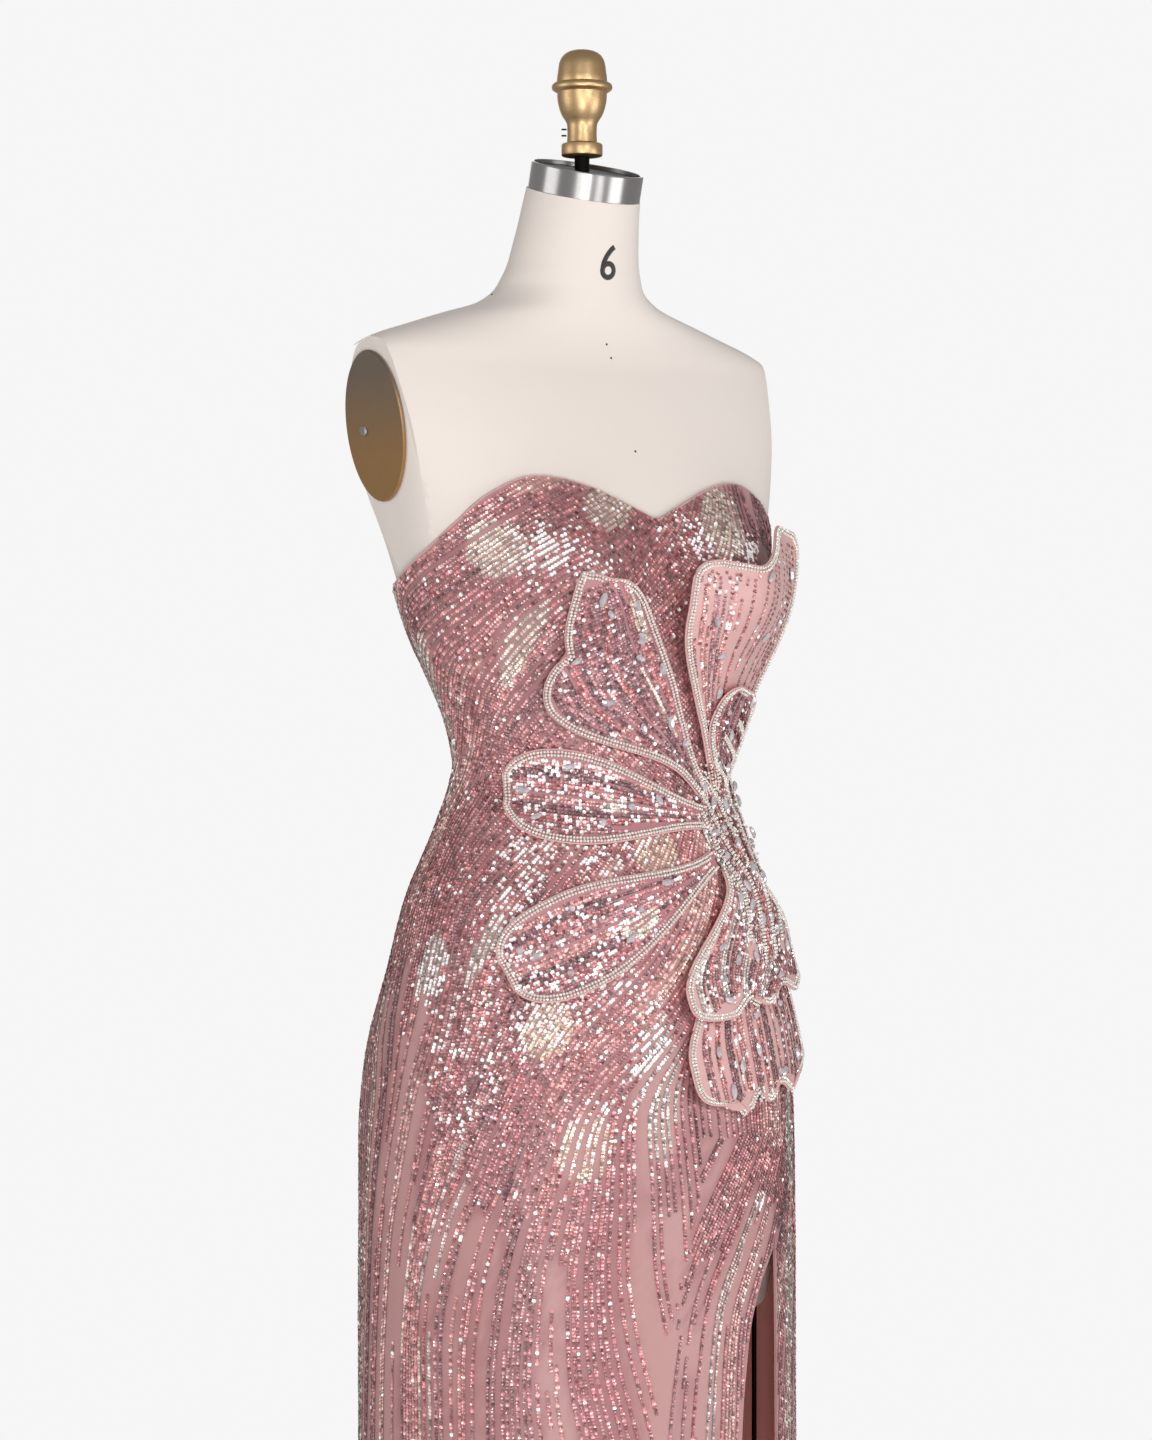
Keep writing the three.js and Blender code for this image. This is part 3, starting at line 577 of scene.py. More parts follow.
slitLean = [  # the rows beside the slit, which meet the others in a V
    [13, 771, 54], [20, 793, 52], [8, 726, 59], [15, 726, 54], [0, 722, 69], [24, 710, 61], [-3, 640, 81],
    [6, 650, 82], [14, 626, 90], [57, 770, 70], [78, 658, 92], [60, 850, 70], [90, 840, 80], [0, 540, 90],
    [10, 500, 91], [0, 250, 90], [60, 400, 90], [100, 600, 92], [100, 200, 90],
]
meetingTop = 812
meeting = curveThrough([  # z, and the angle at which the two families of rows meet
    [10, -16], [450, -13], [584, -10], [614, -8.5], [659, -5], [697, -2.5], [735, 0], [765, 3], [meetingTop, 3],
])
rows = {
    "spacing": 2.95, "pitch": 2.7, "radius": 1.7, "lift": 0.55, "cup": 0.5, "edge": 3.0, "smoothing": 900,
    "longest": 420,  # sequins to each side of a row's start
    "stop": 0.7,  # how near two rows may come, in spacings
    "closer": 0.96, "closerOnPetals": 0.82,  # how near a new row may start, in spacings
    "tip": 0.10, "loose": (0.13, 0.03),  # lean along the row, and its chance part, for all and for the painted glints
    # the rim factor is painted shade at each sequin's edge; the cup tone darkens the centre for its stitch hole or
    # lightens it as a painted highlight; the last pair gives a painted highlight in the cup
    "tint": 0.36, "rim": 0.93, "holeOrCupHighlight": (0.5, 1.25), "paintedCupHighlight": (-0.3, 0.32),
}
border = 16  # spare cells round a chart


# A chart is a piece of cloth laid flat: x runs across it, z runs up it, and maps say how they measure in mm

def leanField(table, angle, z):
    total = np.zeros(np.broadcast(angle, z).shape, complex)
    for at, height, lean in table:
        turn = (angle - at + 180) % 360 - 180
        distance = (turn * 2.7) ** 2 + (z - height) ** 2
        total = total + np.exp(2j * math.radians(lean)) / (distance + rows["smoothing"]) ** 2
    return np.angle(total) / 2


def newChart(low, high, cell, step):
    columns = int((high[0] - low[0]) / cell[0])
    count = int((high[1] - low[1]) / cell[1]) + 1
    shape = (count + 2 * border, columns + 2 * border)
    return {
        "low": low, "high": high, "cell": cell, "step": step,
        "inside": np.s_[border:border + count, border:border + columns],
        "seedTaken": np.zeros(shape, np.int32),
        "stopTaken": np.zeros(shape, np.int32),
        "allowed": np.zeros(shape, bool),
        "family": np.zeros(shape, np.int8),
        "x": np.arange(low[0], high[0] + step[0] / 2, step[0])[None],
        "z": np.arange(low[1], high[1] + step[1], step[1])[:, None],
        "cellX": (low[0] + cell[0] * (np.arange(columns) + 0.5))[None],
        "cellZ": (low[1] + cell[1] * np.arange(count))[:, None],
    }


def gownChart():
    chart = newChart((-180, fit["hem"]), (180, fit["top"]), (0.25, 1.0), (1.0, 4.0))
    angle, z = np.radians(chart["x"]), chart["z"]
    across = (foldedGown(angle + 0.005, z) - foldedGown(angle - 0.005, z)) / math.degrees(0.01)
    rise = (foldedGown(angle, z + 1) - foldedGown(angle, z - 1)) / 2
    chart["reach"] = np.linalg.norm(across, axis=-1)
    chart["shear"] = (rise * across).sum(-1) / chart["reach"]
    chart["climb"] = np.sqrt((rise**2).sum(-1) - chart["shear"] ** 2)
    degrees = chart["x"]
    beside = (z < meetingTop) & (degrees > meeting(z)[..., 0]) & (degrees < seams["side"] + 5)
    chart["lean"] = np.where(beside, leanField(slitLean, degrees, z), leanField(rowLean, degrees, z))
    x, z = chart["cellX"], chart["cellZ"]
    clear = (z > fit["hem"] + 4) & (z < topEdge(np.radians(x)) - 2.2)
    turn = np.degrees(rows["edge"] / (plainGown(math.pi / 2, z)[..., 0] * 0.9))
    edges = slit(z)
    clear &= ~((z < seams["slitTop"] + 2) & (x > edges[..., 0] - turn) & (x < edges[..., 1] + turn))
    clear &= np.abs(x) < 180 - turn
    chart["allowed"][chart["inside"]] = clear
    chart["family"][chart["inside"]] = (z < meetingTop) & (x > meeting(z)[..., 0]) & (x < seams["side"] + 5)
    return chart


def cellAt(chart, x, z):
    row = int((z - chart["low"][1]) / chart["cell"][1]) + border
    return row, int((x - chart["low"][0]) / chart["cell"][0]) + border


def fieldAt(chart, x, z):
    i = int((x - chart["low"][0]) / chart["step"][0] + 0.5)
    j = int((z - chart["low"][1]) / chart["step"][1] + 0.5)
    return chart["lean"][j, i], chart["reach"][j, i], chart["shear"][j, i], chart["climb"][j, i]


stamps = {}


def stamp(chart, grid, cell, distance, reach, number):
    wide = max(1, int(round(distance / (reach * chart["cell"][0]))))
    tall = int(round(distance / chart["cell"][1]))
    if (wide, tall) not in stamps:
        y, x = np.mgrid[-tall:tall + 1, -wide:wide + 1]
        stamps[wide, tall] = (x / (wide + 0.3)) ** 2 + (y / (tall + 0.3)) ** 2 <= 1
    row, column = cell
    part = grid[max(0, row - tall):row + tall + 1, max(0, column - wide):column + wide + 1]
    if part.shape == stamps[wide, tall].shape:
        part[stamps[wide, tall] & (part == 0)] = number


def traceRow(chart, start, number):
    home = chart["family"][cellAt(chart, *start)]
    (left, foot), (right, top) = chart["low"], chart["high"]
    sides = []
    for sign in (1, -1):
        x, z = start
        lean = fieldAt(chart, x, z)[0]
        heading = (sign * math.cos(lean), sign * math.sin(lean))
        found = []
        while len(found) < rows["longest"]:
            lean, reach, shear, climb = fieldAt(chart, x, z)
            c, s = math.cos(lean), math.sin(lean)
            if c * heading[0] + s * heading[1] < 0:
                c, s = -c, -s
            heading = (c, s)
            rise = s * rows["pitch"] / climb
            x += (c * rows["pitch"] - shear * rise) / reach
            z += rise
            if not (left + 0.2 < x < right - 0.2 and foot < z < top - 1):
                break
            cell = cellAt(chart, x, z)
            met = chart["family"][cell] != home or chart["stopTaken"][cell] not in (0, number)
            if met or not chart["allowed"][cell]:
                break
            found.append((x, z, math.atan2(s, c)))
        sides.append(found)
    lean = fieldAt(chart, *start)[0]
    ahead, behind = sides
    return [(x, z, l + math.pi) for x, z, l in reversed(behind)] + [(start[0], start[1], lean)] + ahead


def traceRows(chart, seeds, closer):  # rows an even distance apart, each begun beside the last
    waiting = deque(seeds)
    (left, foot), (right, top) = chart["low"], chart["high"]
    made = []
    while waiting:
        x, z = waiting.popleft()
        if not (left + 0.5 < x < right - 0.5 and foot < z < top - 1):
            continue
        cell = cellAt(chart, x, z)
        if chart["seedTaken"][cell] or not chart["allowed"][cell]:
            continue
        line = traceRow(chart, (x, z), len(made) + 1)
        if len(line) < 4:
            chart["seedTaken"][cell] = len(made) + 1
            continue
        made.append(line)
        fresh = []
        for k, (x, z, lean) in enumerate(line):
            cell = cellAt(chart, x, z)
            reach = fieldAt(chart, x, z)[1]
            stamp(chart, chart["seedTaken"], cell, rows["spacing"] * closer, reach, len(made))
            stamp(chart, chart["stopTaken"], cell, rows["spacing"] * rows["stop"], reach, len(made))
            if k % 3 == 1:
                for way in (1, -1):
                    step = way * rows["spacing"] * (closer + 0.08)
                    fresh.append((x - step * math.sin(lean) / reach, z + step * math.cos(lean)))
        waiting.extendleft(fresh)
    return made


gown = gownChart()
gownSeeds = [(-40.0, 1250.0), (15.0, 760.0)]
gownSeeds += [(float(x), float(z)) for x in range(-175, 180, 10) for z in range(30, 1240, 40)]
rowLines = traceRows(gown, gownSeeds, rows["closer"])
print("rows traced:", len(rowLines), "with", sum(len(line) for line in rowLines), "sequins")


# How high the petals stand over the cloth, cell by cell
petalTop = np.zeros(gown["allowed"].shape)
covered = np.zeros(gown["allowed"].shape, bool)


def markPetals():
    for petal in petals:
        u, v = np.linspace(0, 1, 300)[None], np.linspace(0, 1, 360)[:, None]
        _, turn, z, height = petalPoint(petal, u, v)
        row = (z - fit["hem"] + border).astype(int)
        column = ((np.degrees(turn) + 180) / gown["cell"][0] + border).astype(int)
        np.maximum.at(petalTop, (row, column), height + petalForm["thickness"])
        covered[row[12:-18, 24:-24], column[12:-18, 24:-24]] = True


markPetals()


def readTable(table, i, j):  # a smooth reading between the cells of a table
    i, j = np.clip(i, 0, table.shape[0] - 1.001), np.clip(j, 0, table.shape[1] - 1.001)
    s, t = i - i.astype(int), j - j.astype(int)
    i, j = i.astype(int), j.astype(int)
    low = table[i, j] * (1 - t) + table[i, j + 1] * t
    high = table[i + 1, j] * (1 - t) + table[i + 1, j + 1] * t
    return low * (1 - s) + high * s


def lookUp(table, angle, z):  # one of the gown's maps, by angle in degrees and height
    return readTable(table, (z - fit["hem"]) / gown["step"][1], angle + 180)


# The rows open into bands lower down: a band keeps its place along the flow, measured where the skirt is closed
def flowPlace():
    lean, turns = gown["lean"], gown["x"][0]
    place = np.zeros(lean.shape)
    top = int((960 - fit["hem"]) / gown["step"][1])
    place[top:] = turns * 2.75
    for j in range(top - 1, -1, -1):
        upright = np.where(lean[j] < 0, lean[j] + math.pi, lean[j])
        slope = np.clip(gown["climb"][j] / np.tan(upright), -2.5, 2.5)
        above = turns + (slope - gown["shear"][j]) * gown["step"][1] / gown["reach"][j]
        place[j] = np.interp(above, turns, place[j + 1])
    return place


placeMap = flowPlace()
squeezeMap = np.abs(np.gradient(placeMap, axis=1)) / gown["reach"]  # under 1 where the bands spread
bands = {
    "width": (4, 12), "bare": (4, 9), "rightBare": 1.5, "rightHip": (-330, -175), "ragged": 26,
    "strand": 0.4, "strandHalf": 1.6, "strandEvery": 7.5,
}
tones = {
    # the white tone is for painted glints
    "plum": "#875e62", "mauve": "#b07d80", "rose": "#bb7678", "pink": "#d29391", "blush": "#e2b1aa",
    "cream": "#dfc9bc", "peach": "#e4c0ae", "silver": "#c9beb8", "paintedGlint": "#ffffff",
}
toneColours = {name: np.array(linear(colour)[:3]) for name, colour in tones.items()}
ramp = np.array([toneColours[name] for name in ("plum", "mauve", "rose", "mauve", "pink", "rose", "blush")])
bandTones = ("mauve", "rose", "pink", "silver", "blush", "plum", "pink", "rose", "mauve", "cream")


def drawBands():
    # start, end, end of the bare strip, strand or not, how much lower it opens, tone, the strand's tone
    table = []
    at = -500.0
    while at < 500:
        width, bare = chance.uniform(*bands["width"]), chance.uniform(*bands["bare"])
        if bands["rightHip"][0] < at < bands["rightHip"][1]:  # the strips are wider there
            bare *= bands["rightBare"]
        tone, strandTone = chance.integers(0, len(bandTones), 2)
        strand = chance.random() < bands["strand"]
        table.append((at, at + width, at + width + bare, strand, chance.normal(0, bands["ragged"]), tone, strandTone))
        at += width + bare
    return np.array(table)


bandTable = drawBands()


def bandAt(angle, z):  # which sequins are sewn, where the cloth is loose, and the tone of each band
    place = lookUp(placeMap, angle, z)
    k = np.clip(np.searchsorted(bandTable[:, 0], place, side="right") - 1, 0, len(bandTable) - 1)
    start, end, bareEnd, strand, lower, tone, strandTone = bandTable[k].T
    inBand = place < end
    squeeze = lookUp(squeezeMap, angle, z)
    half, width = bands["strandHalf"] * squeeze, (bareEnd - end) / squeeze
    many = np.where(width < 2 * bands["strandEvery"], strand, np.floor(width / bands["strandEvery"]))
    among = (place - end) / (bareEnd - end) * (many + 1)
    nearest = np.clip(np.round(among), 1, np.maximum(many, 1))
    onStrand = (many > 0) & (np.abs(among - nearest) * (bareEnd - end) / (many + 1) < half)
    loose = z < looseBelow(angle)[..., 0] + lower
    patched = np.any([within(mark, angle, z) < 1 for mark in patches], axis=0)
    edges = slit(z)
    onRight, onLeft = np.abs(angle - edges[:, 0] + 2) < 2.4, np.abs(angle - edges[:, 1] - 2) < 2.4
    besideSlit = (z < seams["slitTop"]) & (onRight | onLeft)
    sewn = (~loose | inBand | onStrand | patched | besideSlit) & (z > fit["hem"] + 30)
    names = np.array([toneColours[name] for name in bandTones])
    return sewn, loose, names[np.where(inBand, tone, strandTone).astype(int)]


patches = [  # angle, z, lean, half length, half width, tone
    [-51, 1268, 30, 27, 21, "cream"], [-15, 1299, 25, 22, 15, "cream"], [20, 1291, 70, 30, 20, "cream"],
    [-51, 1194, 52, 42, 11, "cream"], [-5, 1035, 20, 22, 18, "peach"], [-38, 899, 62, 22, 18, "peach"],
    [-28, 808, 75, 27, 17, "peach"], [-79, 947, 84, 24, 14, "silver"], [-8, 850, 88, 52, 15, "silver"],
    [-25, 1010, 40, 26, 9, "blush"], [-100, 1180, 50, 34, 10, "cream"], [-60, 960, 70, 30, 8, "silver"],
    [-140, 1180, 60, 40, 14, "cream"], [140, 1180, 120, 38, 14, "cream"], [165, 960, 92, 40, 14, "silver"],
    [-160, 900, 90, 44, 15, "peach"], [120, 1010, 96, 36, 12, "cream"], [95, 1210, 150, 28, 12, "cream"],
    [105, 860, 84, 40, 14, "silver"], [-125, 1010, 88, 40, 13, "silver"], [150, 800, 88, 44, 14, "peach"],
    [-118, 800, 92, 40, 14, "peach"], [-111, 1230, 68, 36, 13, "cream"], [-106, 1166, 74, 42, 12, "silver"],
    [-104, 1106, 86, 34, 10, "cream"], [-113, 720, 90, 70, 9, "silver"], [-114, 590, 90, 60, 8, "silver"],
    [44, 680, 90, 60, 10, "silver"], [43, 590, 90, 50, 9, "cream"], [46, 800, 90, 40, 12, "silver"],
]
glints = [  # angle, z, lean, half length, half width, share of white sequins laid as painted glints
    [-37, 1264, 32, 30, 19, 0.55], [-28, 1250, 20, 24, 14, 0.35], [11, 1277, 60, 18, 12, 0.5],
    [29, 1271, 15, 24, 9, 0.6], [-42, 1040, 15, 52, 17, 0.36], [-24, 1036, 5, 44, 15, 0.3],
    [-52, 1004, 60, 44, 18, 0.3], [-33, 970, 30, 60, 34, 0.22], [-24, 922, 40, 44, 18, 0.24],
    [-77, 938, 84, 26, 15, 0.5], [-60, 905, 68, 62, 26, 0.16], [-40, 912, 60, 34, 18, 0.3],
    [-11, 870, 78, 44, 15, 0.42], [-14, 842, 80, 34, 14, 0.3], [-26, 818, 72, 30, 17, 0.34],
    [-56, 854, 66, 44, 14, 0.16], [24, 752, 60, 13, 6, 0.5], [20, 690, 72, 12, 5, 0.5],
    [-14, 1130, 40, 40, 16, 0.12], [70, 1010, 100, 60, 30, 0.2], [105, 1150, 120, 40, 18, 0.25],
    [140, 1010, 92, 60, 20, 0.2], [-150, 1080, 80, 50, 20, 0.2], [-125, 900, 90, 60, 20, 0.2],
    [175, 1160, 90, 40, 16, 0.25], [-105, 1090, 70, 40, 14, 0.2],
]
# painted glints: white sequins scattered all over
glintEverywhere = 0.018


def valueNoise(x, y, seed):
    random = np.random.default_rng(seed).random((64, 64))
    i, j = np.floor(x).astype(int), np.floor(y).astype(int)
    s, t = x - i, y - j
    s, t = s * s * (3 - 2 * s), t * t * (3 - 2 * t)
    low = random[j % 64, i % 64] * (1 - s) + random[j % 64, (i + 1) % 64] * s
    high = random[(j + 1) % 64, i % 64] * (1 - s) + random[(j + 1) % 64, (i + 1) % 64] * s
    return low * (1 - t) + high * t


def rowTones(line):  # bands of tone that run with the rows
    x, z = line[:, 0] * 2.75, line[:, 1]
    raw = valueNoise(x / 13, z / 13, 3) * 0.6 + valueNoise(x / 31, z / 31, 4) * 0.4
    window = np.ones(min(41, len(raw))) / min(41, len(raw))
    smoothed = np.convolve(np.pad(raw, len(window) // 2, mode="edge"), window, "valid")[:len(raw)]
    place = np.clip((smoothed - 0.5) * 2.9 + 0.5 + chance.normal(0, 0.09), 0, 0.999) * (len(ramp) - 1)
    i = place.astype(int)
    share = (place - i)[:, None]
    return ramp[i] * (1 - share) + ramp[i + 1] * share


def within(mark, angle, z):  # how far out in a leaning ellipse on the gown a place lies: 1 is its edge
    at, height, lean, halfLength, halfWidth = mark[:5]
    across, up = np.radians((angle - at + 180) % 360 - 180) * 155, z - height
    c, s = math.cos(math.radians(lean)), math.sin(math.radians(lean))
    return ((across * c + up * s) / halfLength) ** 2 + ((up * c - across * s) / halfWidth) ** 2


def patchTones(angle, z, colour):
    for mark in patches:
        colour[within(mark, angle, z) + chance.normal(0, 0.1, len(z)) < 1] = toneColours[mark[5]]
    # painted glints: white sequins, most where the glint patches lie
    share = np.full(len(z), glintEverywhere)
    for mark in glints:
        share = np.maximum(share, 1.25 * mark[5] * np.exp(-within(mark, angle, z) ** 1.5))
    paintedGlint = chance.random(len(z)) < share
    colour[paintedGlint] = toneColours["paintedGlint"]
    return colour, paintedGlint


def discMesh(name, seat, along, out, radius, tone, paintedGlint):
    # each sequin is a six-sided cup, tipped a little along its row and a little at random
    count = len(seat)
    beside = np.cross(out, along)
    loose = rows["loose"][0] + rows["loose"][1] * paintedGlint
    lean = (rows["tip"] + chance.normal(0, 1, count) * loose)[:, None]
    roll = (chance.normal(0, 1, count) * loose)[:, None]
    facing = unit(out + along * lean + beside * roll)
    first = unit(along - facing * (along * facing).sum(-1, keepdims=True))
    second = np.cross(facing, first)
    turn = chance.uniform(0, math.pi / 3, count)
    points = np.empty((count, 7, 3))
    points[:, 0] = seat - facing * rows["cup"]
    for k in range(6):
        angle = turn + k * math.pi / 3
        corner = first * np.cos(angle)[:, None] + second * np.sin(angle)[:, None]
        points[:, k + 1] = seat + corner * radius[:, None]
    base = np.arange(count)[:, None, None] * 7
    fan = np.array([[0, k + 1, (k + 1) % 6 + 1] for k in range(6)])[None]
    faces = [(base + fan).reshape(-1, 3)]
    piece = makePiece(name, points.reshape(-1, 3), faces, [finishes["sequin"]], smooth=False)
    colour = np.ones((count, 7, 4), np.float32)
    tint = tone * np.exp(chance.normal(0, rows["tint"], (count, 1)))
    flat = paintedGlint[:, None]  # painted glints are even white all over. The others get painted shade at the rim, and in the cup a dark stitch hole or a painted highlight
    colour[:, 1:, :3] = np.where(flat, tone, tint * rows["rim"])[:, None]
    # the cup's centre: darker for the stitch hole, or lighter with a painted highlight
    cup = chance.uniform(*rows["holeOrCupHighlight"], (count, 1))
    paintedCupHighlight = chance.uniform(*rows["paintedCupHighlight"], (count, 1)).clip(0)
    colour[:, 0, :3] = np.where(flat, tone, tint * cup * (1 - paintedCupHighlight) + paintedCupHighlight)
    colour[..., 3] = np.where(paintedGlint, 1.0, chance.uniform(0, 0.55, count))[:, None]
    layer = piece.data.color_attributes.new("tone", "FLOAT_COLOR", "POINT")
    layer.data.foreach_set("color", np.clip(colour, 0, 1).ravel())


def paintSequinShade(angle, z):  # painted shade: darken the satin where dark sequins lie close, for the shade between them
    tall, wide = 6.0, 2.0
    edges = np.arange(fit["hem"], fit["top"] + tall, tall), np.arange(-180, 180 + wide, wide)
    counts = np.histogram2d(z, angle, bins=edges)[0]
    around = np.pad(counts, ((1, 1), (0, 0)), mode="edge")
    counts = (around[:-2] + around[1:-1] + around[2:]) / 3
    counts = (np.roll(counts, 1, 1) + counts + np.roll(counts, -1, 1)) / 3
    full = np.percentile(counts[counts > 0], 70)
    sequinShadeShare = smoothStep(counts / full, 0.55, 0.9)
    for piece, turn, height in panelPlaces:
        value = readTable(sequinShadeShare, (height - fit["hem"]) / tall - 0.5, (turn + 180) / wide - 0.5)
        value = np.concatenate([value.ravel(), np.zeros(value.size)])  # the outside, then the lining
        layer = piece.data.attributes.new("sequinShadeShare", "FLOAT", "POINT")
        layer.data.foreach_set("value", value.astype(np.float32))


def addGownSequins():
    lines = [np.array(line) for line in rowLines]
    tone = np.concatenate([rowTones(line) for line in lines])
    angle, z, lean = np.concatenate(lines).T
    sewn, loose, bandTone = bandAt(angle, z)
    tone = np.where(loose[:, None], tone * 0.35 + bandTone * 0.65, tone)
    tone, paintedGlint = patchTones(angle, z, tone)
    row = (z - fit["hem"]).astype(int) + border
    column = ((angle + 180) / gown["cell"][0]).astype(int) + border
    thinned = (z < 560) & (np.arange(len(z)) % 3 == 0)  # below the knee the sequins stand further apart
    keep = sewn & ~covered[row, column] & ~thinned
    angle, z, lean, tone, paintedGlint = angle[keep], z[keep], lean[keep], tone[keep], paintedGlint[keep]
    dark = tone.mean(1) < 0.4
    # painted shade on the satin under the dark sequins
    paintSequinShade(angle[dark], z[dark])
    turn = np.radians(angle)
    across, rise, out = gownFrame(turn, z)
    along = across * np.cos(lean)[:, None] + rise * np.sin(lean)[:, None]
    seat = foldedGown(turn, z) + out * rows["lift"]
    radius = rows["radius"] * chance.uniform(0.93, 1.05, len(z))
    front = (angle > -95) & (angle < 33)
    regions = {
        "sequins_front_bodice": front & (z > 1130),
        "sequins_front_waist": front & (z <= 1130) & (z > 900),
        "sequins_front_hip": front & (z <= 900) & (z > 690),
        "sequins_front_skirt": front & (z <= 690),
        "sequins_side_left": (angle >= 33) & (angle < 95),
        "sequins_back_left": (angle >= 95) & (z > 760),
        "sequins_back_left_skirt": (angle >= 95) & (z <= 760),
        "sequins_back_right": (angle <= -95) & (z > 760),
        "sequins_back_right_skirt": (angle <= -95) & (z <= 760),
    }
    for name, part in regions.items():
        discMesh(name, seat[part], along[part], out[part], radius[part], tone[part], paintedGlint[part])
        print(name, int(part.sum()))


addGownSequins()


# Rows, beads and stones on the petals. Bare strips and bare spots show the satin.

# mm of sequins and of bare satin in turn, tones, share of white sequins laid as painted glints, stones, turn of the
# rows, cream spots
petalDress = {
    "petal_upper_right": {"strip": (4, 9), "bare": (0, 0), "tones": ("plum", "mauve", "plum", "rose"), "paintedGlint": 0.05,
                          "stones": 11, "turn": 0, "cream": [(0.62, 0.8, 0.26, 0.12), (0.05, 0.45, 0.09, 0.2)]},
    "petal_bust": {"strip": (2.5, 6), "bare": (5, 12), "tones": ("rose", "pink", "mauve", "pink"), "paintedGlint": 0.08,
                   "stones": 10, "turn": 0, "cream": []},
    "petal_small": {"strip": (4, 8), "bare": (0, 2), "tones": ("mauve", "rose", "plum"), "paintedGlint": 0.08,
                    "stones": 4, "turn": 0, "cream": []},
    "petal_waist": {"strip": (5, 11), "bare": (0, 0), "tones": ("mauve", "rose", "plum", "pink"), "paintedGlint": 0.22,
                    "stones": 6, "turn": 0, "cream": [(0.0, 0.5, 0.2, 0.07)]},
    "petal_hip_right": {"strip": (5, 11), "bare": (0, 0), "tones": ("mauve", "rose", "plum", "pink"), "paintedGlint": 0.13,
                        "stones": 7, "turn": 0, "cream": [(-0.35, 0.45, 0.3, 0.09)]},
    "petal_hip_front": {"strip": (5, 10), "bare": (0, 3), "tones": ("mauve", "rose", "plum", "silver"), "paintedGlint": 0.12,
                        "stones": 12, "turn": 70, "cream": []},
    "petal_lowest": {"strip": (3.5, 9), "bare": (3, 8), "tones": ("rose", "mauve", "pink", "plum"), "paintedGlint": 0.08,
                     "stones": 11, "turn": 0, "cream": []},
}
bareSpots = {"petal_hip_front": [  # share across and along, and the spot's two half sizes
    (-0.42, 0.42, 0.2, 0.1), (-0.12, 0.2, 0.12, 0.08), (-0.62, 0.68, 0.16, 0.09), (0.1, 0.62, 0.1, 0.06),
]}
petalHeight = petalForm["thickness"] + 0.5
beadRows = {"pitch": 2.75, "radius": 1.32, "inset": (1.5, 4.3), "clear": 6.4}


def petalChart(petal, turn):  # x across the petal from its middle line and z along it
    low = (-(petal["left"] + petal["lobe"]) - 2, 0)
    chart = newChart(low, (petal["right"] + 2, petal["length"]), (0.5, 0.5), (2.0, 2.0))

    def shares(x, y):
        t = np.clip(y / petal["length"], 0, 1)
        left, right = petalWidths(petal, t)
        return t, np.where(x < 0, left, right), np.clip(np.where(x < 0, x / left, x / right), -1, 1)

    t, width, across = shares(chart["x"], chart["z"])
    ahead = petalWidths(petal, np.minimum(t + 0.02, 1))
    slope = (np.where(chart["x"] < 0, *ahead) - width) / (0.02 * petal["length"])
    swing = math.radians(turn) * smoothStep(-across, -0.7, 0.35)
    chart["lean"] = np.arctan2(1, across * np.clip(slope, -0.05, 1.2)) - swing
    for name, value in (("reach", 1.0), ("shear", 0.0), ("climb", 1.0)):
        chart[name] = np.full(chart["lean"].shape, value)
    x, y = np.broadcast_arrays(chart["cellX"], chart["cellZ"])
    t, width, across = shares(x, y)
    clear = (np.abs(x) < width - beadRows["clear"]) & (y > 8) & (y < petal["length"] - beadRows["clear"])
    for at, height, wide, tall in bareSpots.get(petal["name"], ()):
        clear &= ((across - at) / wide) ** 2 + ((t - height) / tall) ** 2 > 1
    chart["allowed"][chart["inside"]] = clear
    return chart


def petalSequins(petal):
    dress = petalDress[petal["name"]]
    chart = petalChart(petal, dress["turn"])
    seeds = [(float(x), float(y)) for y in np.arange(petal["length"] * 0.75, 8, -9) for x in range(-90, 91, 9)]
    lines = [np.array(line) for line in traceRows(chart, seeds, rows["closerOnPetals"])]
    order = np.concatenate([np.full(len(line), k) for k, line in enumerate(lines)])
    x, y, lean = np.concatenate(lines).T
    t = y / petal["length"]
    left, right = petalWidths(petal, t)
    across = np.where(x < 0, x / left, x / right)
    # the place among the strips
    spread = across * np.where(across < 0, petal["left"] + petal["lobe"], petal["right"])
    sewn, tone, at = np.zeros(len(x), bool), np.zeros((len(x), 3)), spread.min() - 1
    k = 0
    while at < spread.max():
        strip, bare = chance.uniform(*dress["strip"]), chance.uniform(*dress["bare"])
        here = (spread >= at) & (spread < at + strip)
        sewn |= here
        tone[(spread >= at) & (spread < at + strip + bare)] = toneColours[dress["tones"][k % len(dress["tones"])]]
        if bare > 7 and chance.random() < 0.6:  # a single row in a wide bare strip
            sewn |= np.abs(spread - at - strip - bare / 2) < 1.2
        at += strip + bare
        k += 1
    if dress["turn"]:  # rows that run across the petal change tone two by two
        names = np.array([toneColours[name] for name in dress["tones"]])
        sewn, tone = np.ones(len(x), bool), names[order // 2 % len(names)]
    tone = tone * (1 + 0.16 * np.sin(order * 1.7))[:, None]
    for px, pt, wide, tall in dress["cream"]:
        out = ((across - px) / wide) ** 2 + ((t - pt) / tall) ** 2 + chance.normal(0, 0.1, len(x))
        tone[out < 1] = toneColours["cream"]
    # painted glints: white sequins in patches on the petal
    shine = dress["paintedGlint"] * (0.35 + 1.3 * valueNoise(x / 16 + 7, y / 16 + 3, 9))
    paintedGlint = chance.random(len(x)) < shine
    tone[paintedGlint] = toneColours["paintedGlint"]
    steps = np.linspace(0, 1, 400)
    u, v = (across + 1) / 2, np.interp(t, petalShare(steps), steps)
    seat, rise, out = petalFrame(petal, u, v, petalHeight)
    beside = np.cross(rise, out)
    along = unit(beside * np.cos(lean)[:, None] + rise * np.sin(lean)[:, None])
    return [part[sewn] for part in (seat, along, out, tone, paintedGlint)]


